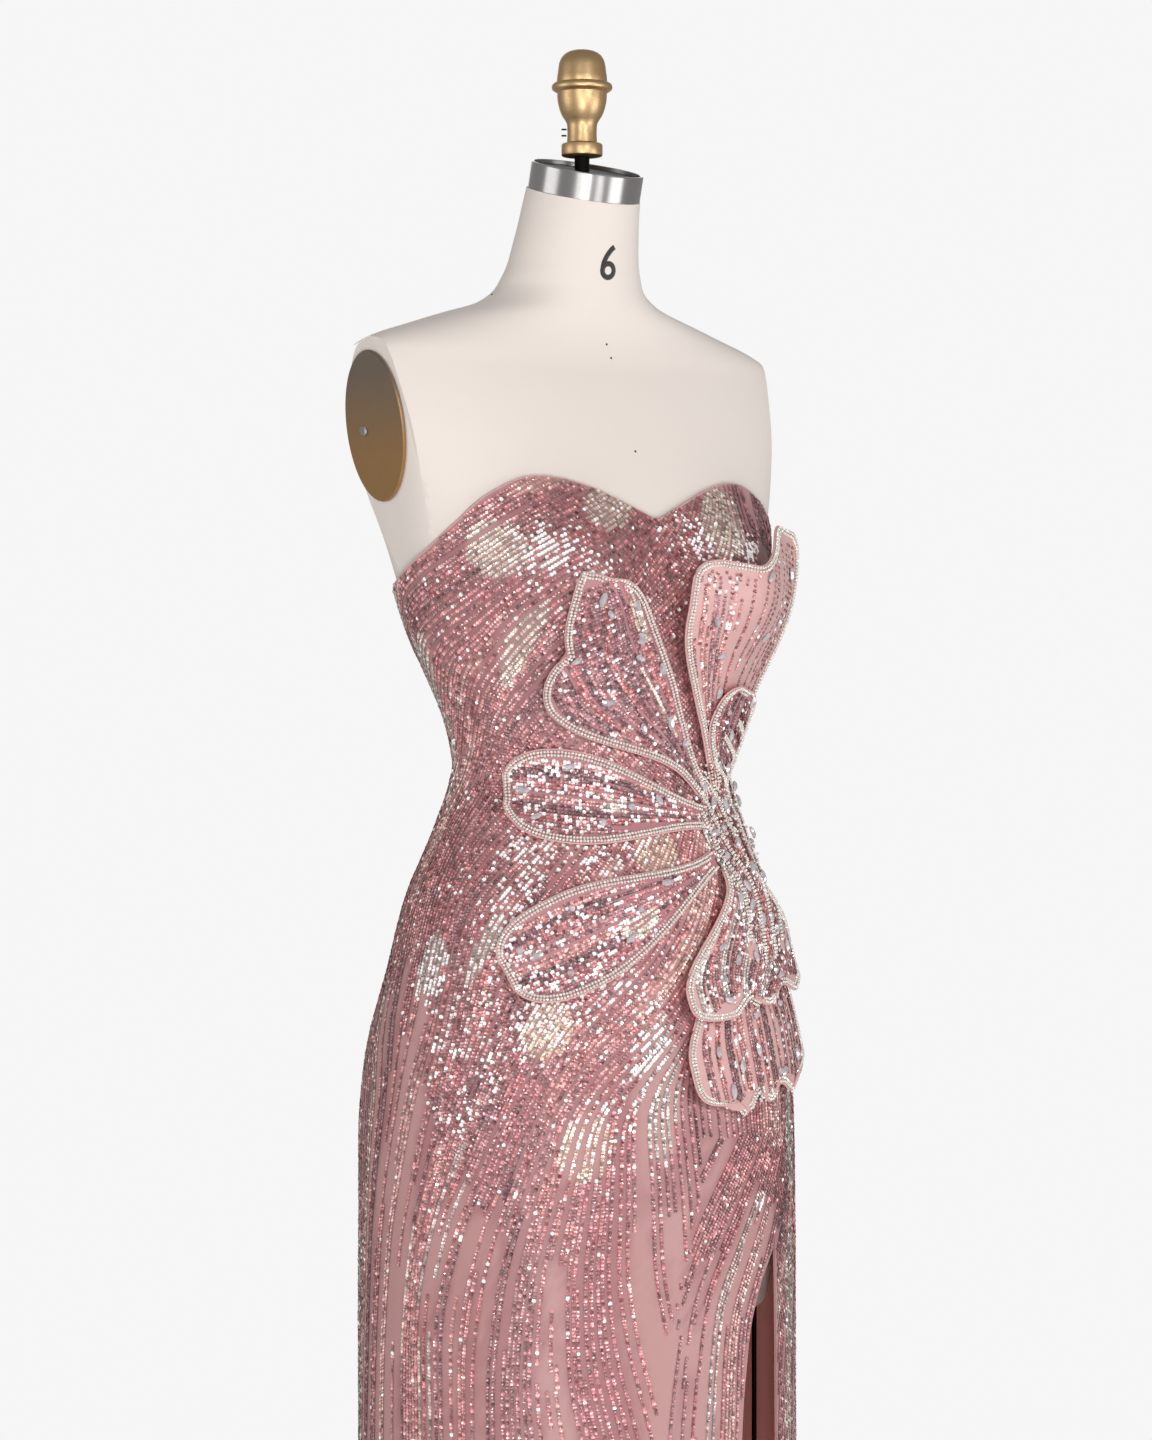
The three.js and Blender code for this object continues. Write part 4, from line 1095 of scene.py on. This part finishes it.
def beadMesh(name, seat, radius, material):  # faceted beads, twenty faces each
    golden = (1 + 5**0.5) / 2
    corners = unit(np.array([
        [-1, golden, 0], [1, golden, 0], [-1, -golden, 0], [1, -golden, 0],
        [0, -1, golden], [0, 1, golden], [0, -1, -golden], [0, 1, -golden],
        [golden, 0, -1], [golden, 0, 1], [-golden, 0, -1], [-golden, 0, 1],
    ], float))
    sides = np.array([
        [0, 11, 5], [0, 5, 1], [0, 1, 7], [0, 7, 10], [0, 10, 11], [1, 5, 9], [5, 11, 4], [11, 10, 2], [10, 7, 6],
        [7, 1, 8], [3, 9, 4], [3, 4, 2], [3, 2, 6], [3, 6, 8], [3, 8, 9], [4, 9, 5], [2, 4, 11], [6, 2, 10],
        [8, 6, 7], [9, 8, 1],
    ])
    count = len(seat)
    spin = chance.uniform(0, 2 * math.pi, count)
    c, s = np.cos(spin)[:, None], np.sin(spin)[:, None]
    x, y, z = corners.T
    turned = np.stack([x * c - y * s, x * s + y * c, np.broadcast_to(z, (count, 12))], -1)
    points = seat[:, None] + turned * np.asarray(radius).reshape(-1, 1, 1)
    faces = (np.arange(count)[:, None, None] * 12 + sides[None]).reshape(-1, 3)
    makePiece(name, points.reshape(-1, 3), [faces], [material], smooth=False)


def petalOutline(petal, outwards):
    v = np.linspace(0, 1, 300)
    u = np.linspace(0, 1, 160)
    us = np.concatenate([np.zeros(300), u[1:-1], np.ones(300)])
    vs = np.concatenate([v, np.ones(158), v[::-1]])
    line = petalPoint(petal, us, vs, outwards)[0]
    out = petalFrame(petal, np.clip(us, 0.01, 0.99), np.clip(vs, 0.01, 0.985), outwards)[2]
    return line, out


def resample(line, extra, pitch):
    gone = np.concatenate([[0], np.cumsum(np.linalg.norm(np.diff(line, axis=0), axis=1))])
    marks = np.arange(pitch / 2, gone[-1], pitch)
    return [np.stack([np.interp(marks, gone, part[:, k]) for k in range(3)], -1) for part in (line, extra)]


def petalBeads(petal):
    line, out = resample(*petalOutline(petal, petalForm["thickness"]), beadRows["pitch"])
    along = unit(np.gradient(line, axis=0))
    for _ in range(3):
        along = unit(along + np.roll(along, 1, 0) + np.roll(along, -1, 0))
    inwards = unit(np.cross(along, out))
    inwards *= np.sign((inwards * (line.mean(0) - line)).sum(-1).mean())
    seats = []
    for k, inset in enumerate(beadRows["inset"]):
        row = line + inwards * (inset + chance.normal(0, 0.12, (len(line), 1))) + out * beadRows["radius"] * 0.75
        seats.append(row[2 * k:len(row) - 2 * k])
    return np.concatenate(seats)


def addPiping(petal):
    line, _ = resample(*petalOutline(petal, petalForm["thickness"] / 2), 3.0)
    addTube(petal["name"] + "_piping", line, 0.8, finishes["petalSatin"])


stoneShape = {"long": 5.4, "wide": 2.7, "high": 2.2, "round": 3.1}  # half sizes, and the table's height


def stoneMesh(name, seat, along, out, size, roundness):
    # a cut stone: a girdle of ten corners, a small table, and a foil cup behind
    count, around = len(seat), 10
    beside = np.cross(out, along)
    angle = np.arange(around) * 2 * math.pi / around
    long = np.where(roundness, stoneShape["round"], stoneShape["long"])[:, None] * size[:, None]
    wide = np.where(roundness, stoneShape["round"], stoneShape["wide"])[:, None] * size[:, None]
    pointed = np.sign(np.cos(angle)) * np.abs(np.cos(angle)) ** 0.9
    rings = []
    for share, height in ((0.86, -0.6), (1.0, 0.5), (0.52, stoneShape["high"])):
        ring = (seat[:, None] + along[:, None] * (long * pointed * share)[..., None]
                + beside[:, None] * (wide * np.sin(angle) * share)[..., None] + out[:, None] * height)
        rings.append(ring)
    points = np.concatenate(rings, 1)
    k = np.arange(around)
    after = (k + 1) % around
    base = np.arange(count)[:, None, None] * (3 * around)
    band = np.stack([k, after, around + after, around + k], -1)
    sides = (base + np.concatenate([band, band + around])[None]).reshape(-1, 4)
    table = (base[:, 0] + 2 * around + k[None]).reshape(-1, around)
    foot = (base[:, 0] + k[None, ::-1]).reshape(-1, around)
    faces = [sides, np.concatenate([table, foot])]
    makePiece(name, points.reshape(-1, 3), faces, [finishes["stone"]] * 2, smooth=False)


def petalStones(petal):
    count = petalDress[petal["name"]]["stones"]
    v = np.linspace(0.2, 0.86, count) + chance.uniform(-0.04, 0.04, count)
    u = 0.5 + 0.33 * np.sin(np.arange(count) * 2.4 + 0.7)
    point, way, outward = petalFrame(petal, u, v, petalForm["thickness"] + 1.2)
    spin = chance.normal(0, 0.5, count)[:, None]
    return point, unit(way * np.cos(spin) + np.cross(outward, way) * np.sin(spin)), outward


# Where the petals meet, strands of silver beads sweep over their roots and down the left hip
centreStrands = [  # arc from the centre front and z
    [[44, 1078], [58, 1056], [72, 1030], [82, 1002], [88, 972], [90, 944]],
    [[50, 1090], [68, 1068], [86, 1042], [98, 1012], [105, 980], [108, 946]],
    [[58, 1104], [80, 1084], [100, 1060], [115, 1030], [123, 996], [126, 960]],
    [[40, 1062], [52, 1040], [62, 1014], [68, 988], [70, 962]],
    [[70, 1124], [94, 1108], [116, 1086], [133, 1056], [142, 1020], [146, 984]],
    [[90, 1136], [114, 1122], [136, 1100], [152, 1070], [161, 1034], [165, 996]],
]
strandTones = ("mauve", "pink", "rose", "silver")
looseBeads = {"count": 150, "arc": (44, 120), "z": 1078, "fall": 0.9, "spread": 46}
centreStones = [  # arc, z, lean, size, round or not
    [47, 1084, 150, 1.1, 0], [57, 1070, 60, 1.2, 0], [64, 1050, 20, 1.0, 1], [74, 1066, 110, 1.25, 0],
    [80, 1038, 70, 1.1, 0], [58, 1028, 100, 1.0, 1], [92, 1016, 50, 1.25, 0], [74, 1004, 130, 1.1, 0],
    [102, 1000, 80, 1.1, 1], [92, 978, 100, 1.2, 0], [112, 966, 60, 1.15, 0], [84, 956, 20, 1.0, 1],
    [100, 938, 95, 1.2, 0], [118, 1044, 130, 1.2, 0], [98, 1082, 40, 1.1, 0], [50, 1046, 10, 1.1, 0],
    [84, 1100, 75, 1.15, 0], [132, 1070, 105, 1.1, 0], [110, 1108, 150, 1.0, 1], [126, 1010, 85, 1.2, 0],
    [66, 1092, 120, 0.95, 1], [140, 1036, 60, 1.0, 0],
]


def centrePlace(arc, z, above):  # a place on whatever lies on top there, with the ways across, up and out
    angle = angleAlong(arc, z)
    row = (z - fit["hem"] + border).astype(int)
    column = ((np.degrees(angle) + 180) / gown["cell"][0] + border).astype(int)
    top = np.max([petalTop[row + i, column + j] for i in (-3, 0, 3) for j in (-3, 0, 3)], 0)
    if len(top) > 9:
        top = np.convolve(np.pad(top, 4, mode="edge"), np.ones(9) / 9, "valid")
    across, rise, out = gownFrame(angle, z)
    return foldedGown(angle, z) + out * (top + above)[:, None], across, rise, out


def dressCentre():
    beads, seats, ways, outs, tones = [], [], [], [], []
    for number, strand in enumerate(centreStrands):
        curve = curveThrough([[k] + place for k, place in enumerate(strand)])
        fine = curve(np.linspace(0, len(strand) - 1, 400))
        gone = np.concatenate([[0], np.cumsum(np.linalg.norm(np.diff(fine, axis=0), axis=1))])
        for pitch, offsets in ((beadRows["pitch"], (-1.15, 1.15)), (rows["pitch"], (-7.6, -4.7, 4.7, 7.6))):
            marks = np.arange(0, gone[-1], pitch)
            flat = np.stack([np.interp(marks, gone, fine[:, k]) for k in range(2)], -1)
            heading = unit(np.gradient(flat, axis=0))
            for offset in offsets:
                arc, z = (flat + offset * np.stack([-heading[:, 1], heading[:, 0]], -1)).T
                if pitch == beadRows["pitch"]:
                    beads.append(centrePlace(arc, z, beadRows["radius"] * 0.8)[0])
                    continue
                seat, across, rise, out = centrePlace(arc, z, 0.6)
                seats.append(seat)
                outs.append(out)
                ways.append(unit(across * heading[:, :1] + rise * heading[:, 1:]))
                tone = toneColours[strandTones[(number + int(offset > 0)) % len(strandTones)]]
                tones.append(np.tile(tone, (len(seat), 1)))
    near, far = looseBeads["arc"]
    arc = chance.uniform(near, far, looseBeads["count"])
    z = chance.uniform(-looseBeads["spread"], looseBeads["spread"], looseBeads["count"])
    z = looseBeads["z"] - (arc - near) * looseBeads["fall"] + z
    beads.append(centrePlace(arc, z, 1.4)[0])
    seat, along, out, tone = [np.concatenate(part) for part in (seats, ways, outs, tones)]
    # painted glints: some white sequins
    paintedGlint = chance.random(len(seat)) < 0.14
    tone[paintedGlint] = toneColours["paintedGlint"]
    discMesh("sequins_flower_centre", seat, along, out, np.full(len(seat), rows["radius"]), tone, paintedGlint)
    return np.concatenate(beads)


def dressPetals():
    discs = [petalSequins(petal) for petal in petals]
    seat, along, out, tone, paintedGlint = [np.concatenate(part) for part in zip(*discs)]
    radius = rows["radius"] * chance.uniform(0.9, 1.05, len(seat))
    discMesh("sequins_petals", seat, along, out, radius, tone, paintedGlint)
    print("sequins on the petals:", len(seat))
    beads = np.concatenate([petalBeads(petal) for petal in petals] + [dressCentre()])
    radius = beadRows["radius"] * chance.uniform(0.9, 1.1, len(beads))
    beadMesh("petal_edge_beads", beads, radius, finishes["rhinestone"])
    print("beads:", len(beads))
    for petal in petals:
        addPiping(petal)
    arc, z, lean, size, isRound = np.array(centreStones, float).T
    seats, across, rise, outs = centrePlace(arc, z, 1.6)
    lean = np.radians(lean)[:, None]
    ways = unit(across * np.cos(lean) + rise * np.sin(lean))
    stones = [petalStones(petal) for petal in petals] + [(seats, ways, outs)]
    seat, way, outward = [np.concatenate(part) for part in zip(*stones)]
    scattered = len(seat) - len(arc)
    roundness = np.concatenate([chance.random(scattered) < 0.25, isRound > 0])
    sizes = np.concatenate([chance.uniform(0.85, 1.15, scattered), size])
    stoneMesh("petal_stones", seat, way, outward, sizes, roundness)


dressPetals()
print("petals dressed")


# The form, its neck, knob and stand

plate = {"x": 176, "y": 28, "z": 1366, "tilt": 8, "depth": 82, "height": 119, "thickness": 3}
ringPlace = {"y": -2, "z": 1556, "tilt": 15, "radius": 45.5, "height": 21.5, "wall": 2.5}
cutAbove = 1.23  # m: the faces that the cuts for the plates and the neck can meet


def hoopFaces(count, around):  # rings of points laid on one another: their numbers, and the faces between them
    at = np.arange(count * around).reshape(count, around)
    after = np.roll(at, -1, 1)
    return at, np.stack([at[:-1], after[:-1], after[1:], at[1:]], -1).reshape(-1, 4)


def addForm():
    around = 160
    heights = np.concatenate([[664, 665, 667, 671, 676], np.arange(690, 1410, 8), np.arange(1412, 1600, 4)])
    turn = np.arange(around) * 2 * math.pi / around
    points = formPoint(turn[None], heights[:, None].astype(float)).reshape(-1, 3)
    at, quads = hoopFaces(len(heights), around)
    piece = makePiece("form_cover", points, [quads, at[:1, ::-1], at[-1:]], [finishes["cotton"]] * 3,
                      replaces=["form_torso"])
    work = bmesh.new()
    work.from_mesh(piece.data)
    tilt = math.radians(ringPlace["tilt"])
    cuts = [(Vector((0, ringPlace["y"], ringPlace["z"])), Vector((0, -math.sin(tilt), math.cos(tilt))))]
    tilt = math.radians(plate["tilt"])
    for sign in (-1, 1):
        seat = Vector((sign * (plate["x"] - 0.3), plate["y"], plate["z"]))
        cuts.append((seat, Vector((sign * math.cos(tilt), 0, -math.sin(tilt)))))
    for place, way in cuts:
        near = [face for face in work.faces if face.calc_center_median().z > cutAbove]
        edges = {edge for face in near for edge in face.edges}
        corners = {corner for face in near for corner in face.verts}
        cut = bmesh.ops.bisect_plane(work, geom=list(corners) + list(edges) + near,
                                     plane_co=place * mm, plane_no=way, clear_outer=True)
        rim = [edge for edge in cut["geom_cut"] if isinstance(edge, bmesh.types.BMEdge)]
        bmesh.ops.edgeloop_fill(work, edges=rim)
    bmesh.ops.recalc_face_normals(work, faces=work.faces)
    work.to_mesh(piece.data)
    work.free()
    piece.data.set_sharp_from_angle(angle=math.radians(38))


def addTurned(name, profile, material, replaces, place, hollow=False, segments=96):
    # turned from points of radius and height, and closed at its ends or on itself
    radius, height = np.array(profile, float).T[:, :, None]
    turn = np.arange(segments) * 2 * math.pi / segments
    points = np.stack([radius * np.cos(turn), radius * np.sin(turn), height + 0 * turn], -1)
    at, quads = hoopFaces(len(profile), segments)
    if hollow:
        after = np.roll(at, -1, 1)
        ends = np.stack([at[-1], after[-1], after[0], at[0]], -1)
        faces = [np.concatenate([quads, ends])]
    else:
        faces = [quads, at[:1, ::-1], at[-1:]]
    points = np.array([place @ Vector(point) for point in points.reshape(-1, 3)])
    makePiece(name, points, faces, [material] * len(faces), sharp=28, replaces=replaces)


def addNeck():
    tilt = Matrix.Rotation(math.radians(ringPlace["tilt"]), 4, "X")
    place = Matrix.Translation((0, ringPlace["y"], ringPlace["z"])) @ tilt
    outer, inner, high = ringPlace["radius"], ringPlace["radius"] - ringPlace["wall"], ringPlace["height"]
    ring = [[inner, 0.4], [inner + 0.4, 0], [outer - 0.4, 0], [outer, 0.4],
            [outer, high - 0.8], [outer - 0.8, high], [inner + 0.5, high], [inner, high - 0.5]]
    addTurned("neck_band", ring, finishes["steel"], ["neck_ring"], place, hollow=True, segments=160)
    cap = [[0.01, 0], [inner - 0.3, 0], [inner - 0.3, high - 3.6], [inner - 1, high - 3], [0.01, high - 3]]
    addTurned("neck_plate", cap, finishes["black"], ["neck_cap"], place)


knob = {  # profiles of radius and height
    "foot": 1587,
    "footProfile": [
        [0.01, 0], [15.5, 0], [16.2, 0.4], [16.5, 1], [16.5, 8.5], [16.1, 9.6], [15.2, 10.1], [12.2, 10.6], [0.01, 10.6],
    ],
    "bowlProfile": [
        [0.01, 0], [12.1, 0], [11.7, 6], [11.9, 13], [12.4, 15.6], [13.9, 18.2], [15.8, 21], [17.4, 24.4],
        [18.6, 28.4], [19.5, 32.6], [19.9, 36.4], [20, 40], [22.6, 41.2], [23.9, 42.4], [24.4, 43.9], [24.2, 45.4],
        [23.5, 46.7], [22.2, 47.6], [0.01, 47.6],
    ],
    "domeProfile": [
        [0.01, 0], [20, 0], [20.2, 1.5], [19.9, 5], [19.2, 10], [18.8, 13.4], [18.2, 16.4], [17.2, 19], [15.5, 21.6],
        [13.2, 23.6], [10.4, 25], [7, 25.9], [3.4, 26.4], [0.01, 26.6],
    ],
    "pieces": [  # name, profile, height above the foot, the CAD node
        ("knob_flange", "footProfile", 0, "knob_foot"),
        ("knob_cup", "bowlProfile", 10.9, "knob_bowl"),
        ("knob_cap", "domeProfile", 58.8, "knob_dome"),
    ],
}


def addKnob():
    for name, profile, height, node in knob["pieces"]:
        place = Matrix.Translation((0, 0, knob["foot"] + height))
        addTurned(name, knob[profile], finishes["gold"], [node], place)


def addArmPlates():
    around = 96
    turn = np.arange(around) * 2 * math.pi / around
    for sign, hand in ((-1, "right"), (1, "left")):
        rings = []
        for inset, out in ((0.8, 0), (0, 0.8), (0, plate["thickness"] - 0.9), (0.9, plate["thickness"])):
            y, z = (plate["depth"] / 2 - inset) * np.cos(turn), (plate["height"] / 2 - inset) * np.sin(turn)
            rings.append(np.stack([np.full(around, float(out)), y, z], -1))
        points = np.concatenate(rings)
        points[:, 0] *= sign
        tilt = Matrix.Rotation(math.radians(sign * plate["tilt"]), 4, "Y")
        place = Matrix.Translation((sign * plate["x"], plate["y"], plate["z"])) @ tilt
        points = np.array([place @ Vector(point) for point in points])
        at, quads = hoopFaces(len(rings), around)
        faces = [quads, at[:1, ::-1], at[-1:]]
        if sign < 0:
            faces = [group[:, ::-1] for group in faces]
        makePiece("armhole_plate_" + hand, points, faces, [finishes["bronze"]] * 3, sharp=40,
                  replaces=["arm_plate_" + hand])


# A plain size number on the neck, the pins left in the cover, and its shoulder seams
sizeNumber = {
    "z": 1499, "stroke": 2.1, "thick": 0.25,
    "stem": [[4.4, 12.2], [1.4, 9.6], [-1.9, 5.2], [-4.3, 0.2], [-5.3, -4.4]],
    "ring": (0, -6.6, 5.4),  # its centre and radius
}
pins = [(0, 1434), (0.6, 1423), (0, 1347), (-94, 1474), (95, 1475)]  # angle and z


def onForm(x, z, outwards):  # a place on the form's front, x to the wearer's left
    halfWidth = formPoint(math.pi / 2, z)[..., 0]
    point = formPoint(np.arcsin(np.clip(x / halfWidth, -1, 1)), z)
    return point + np.array([0, -1.0, 0]) * outwards


def addSizeNumber():
    cx, cz, radius = sizeNumber["ring"]
    turn = np.radians(np.linspace(158, 158 + 360, 60))
    ring = np.stack([cx + radius * np.cos(turn), cz + radius * np.sin(turn)], -1)
    stem = curveThrough([[k] + place for k, place in enumerate(sizeNumber["stem"])])
    stem = stem(np.linspace(0, len(sizeNumber["stem"]) - 1, 30))
    path = np.concatenate([stem, ring])
    way = unit(np.gradient(path, axis=0))
    beside = np.stack([-way[:, 1], way[:, 0]], -1) * sizeNumber["stroke"]
    sheets = []
    for outwards in (sizeNumber["thick"], 0.02):
        edges = [path + beside, path - beside]
        sheets.append(np.stack([onForm(edge[:, 0], sizeNumber["z"] + edge[:, 1], outwards) for edge in edges]))
    points, front, back = wallMesh(*sheets)
    makePiece("neck_size_number", points, [np.concatenate([front, back])], [finishes["ink"]])


def addFormTrim():
    angle, z = np.array(pins, float).T
    point = formPoint(np.radians(angle), z)
    beadMesh("cover_pins", point, np.full(len(pins), 1.0), finishes["black"])
    for hand, angle in (("right", -92), ("left", 92)):
        line = formPoint(np.radians(angle), np.linspace(1474, 1428, 40))
        addTube("shoulder_seam_" + hand, line, 0.5, finishes["seam"])


addForm()
addNeck()
addKnob()
addArmPlates()
addSizeNumber()
addFormTrim()
for name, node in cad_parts.items():  # the CAD pieces that stay
    if node.hide_render:
        continue
    kind = "steel" if "screw" in name else "satin" if name == "zip" else "black"
    node.data.materials.clear()
    node.data.materials.append(finishes[kind])
print("form and stand made")


# Camera, lamps and floor

view = {"azimuth": -35, "distance": 3.3, "height": 1.136, "left": 0.0048, "lens": 103.1}


def addCamera():
    turn = math.radians(view["azimuth"])
    right = Vector((math.cos(turn), math.sin(turn), 0))
    back = Vector((math.sin(turn), -math.cos(turn), 0))
    camera = bpy.data.objects.new("camera", bpy.data.cameras.new("camera"))
    camera.data.lens = view["lens"]
    camera.data.sensor_width = 36
    camera.location = back * view["distance"] - right * view["left"] + Vector((0, 0, view["height"]))
    camera.rotation_euler = back.to_track_quat("Z", "Y").to_euler()
    scene.collection.objects.link(camera)
    scene.camera = camera


lamps = [  # name, azimuth, height, distance, size, watts
    ("keyLeft", -47, 1.8, 3.2, 0.7, 18), ("keyRight", -6, 1.8, 3.2, 0.7, 26), ("low", -33, 0.5, 2.9, 0.6, 26),
    ("fillLeft", -108, 1.5, 3.0, 1.6, 17), ("fillRight", 32, 0.7, 3.0, 1.6, 27), ("back", 150, 2.2, 3.0, 2.0, 16),
]
studio = {"fill": 0.34, "paper": "#f6f6f6", "backdropRadius": 20}


def addLamps():
    for name, azimuth, height, distance, size, power in lamps:
        turn = math.radians(azimuth)
        lamp = bpy.data.objects.new(name, bpy.data.lights.new(name, "AREA"))
        lamp.data.size = size
        lamp.data.energy = power
        lamp.location = (math.sin(turn) * distance, -math.cos(turn) * distance, height)
        aim = Vector((0, 0, 1.05)) - lamp.location
        lamp.rotation_euler = aim.to_track_quat("-Z", "Y").to_euler()
        scene.collection.objects.link(lamp)
    world = bpy.data.worlds.new("studio")
    scene.world = world
    world.use_nodes = True
    world.node_tree.nodes["Background"].inputs["Color"].default_value = linear(studio["paper"])
    world.node_tree.nodes["Background"].inputs["Strength"].default_value = studio["fill"]


def addBackdrop():  # lit paper all round, which lights nothing itself
    material, _, surface = newMaterial("litPaper", Roughness=1.0, Emission_Strength=1.0)
    surface.inputs["Base Color"].default_value = (0, 0, 0, 1)
    surface.inputs["Specular IOR Level"].default_value = 0
    surface.inputs["Emission Color"].default_value = linear(studio["paper"])
    bpy.ops.mesh.primitive_uv_sphere_add(segments=48, ring_count=24, radius=studio["backdropRadius"])
    backdrop = bpy.context.object
    backdrop.name = "backdrop"
    backdrop.data.materials.append(material)
    for rays in ("diffuse", "glossy", "transmission", "shadow"):
        setattr(backdrop, "visible_" + rays, False)


def addFloor():
    # Pale studio paper: matt, with a faint mottle
    material, tree, surface = newMaterial("studioPaper", Roughness=0.9)
    mottle = noise(tree, objectPlace(tree), 3.0, 2.0)
    tree.links.new(blend(tree, mottle, linear("#f2f2f1"), linear("#ececeb")), surface.inputs["Base Color"])
    bpy.ops.mesh.primitive_circle_add(vertices=128, radius=1.6, fill_type="NGON", location=(0, 0, -0.0005))
    floor = bpy.context.object
    floor.name = "floor"
    floor.data.materials.append(material)


addCamera()
addLamps()
addBackdrop()
addFloor()
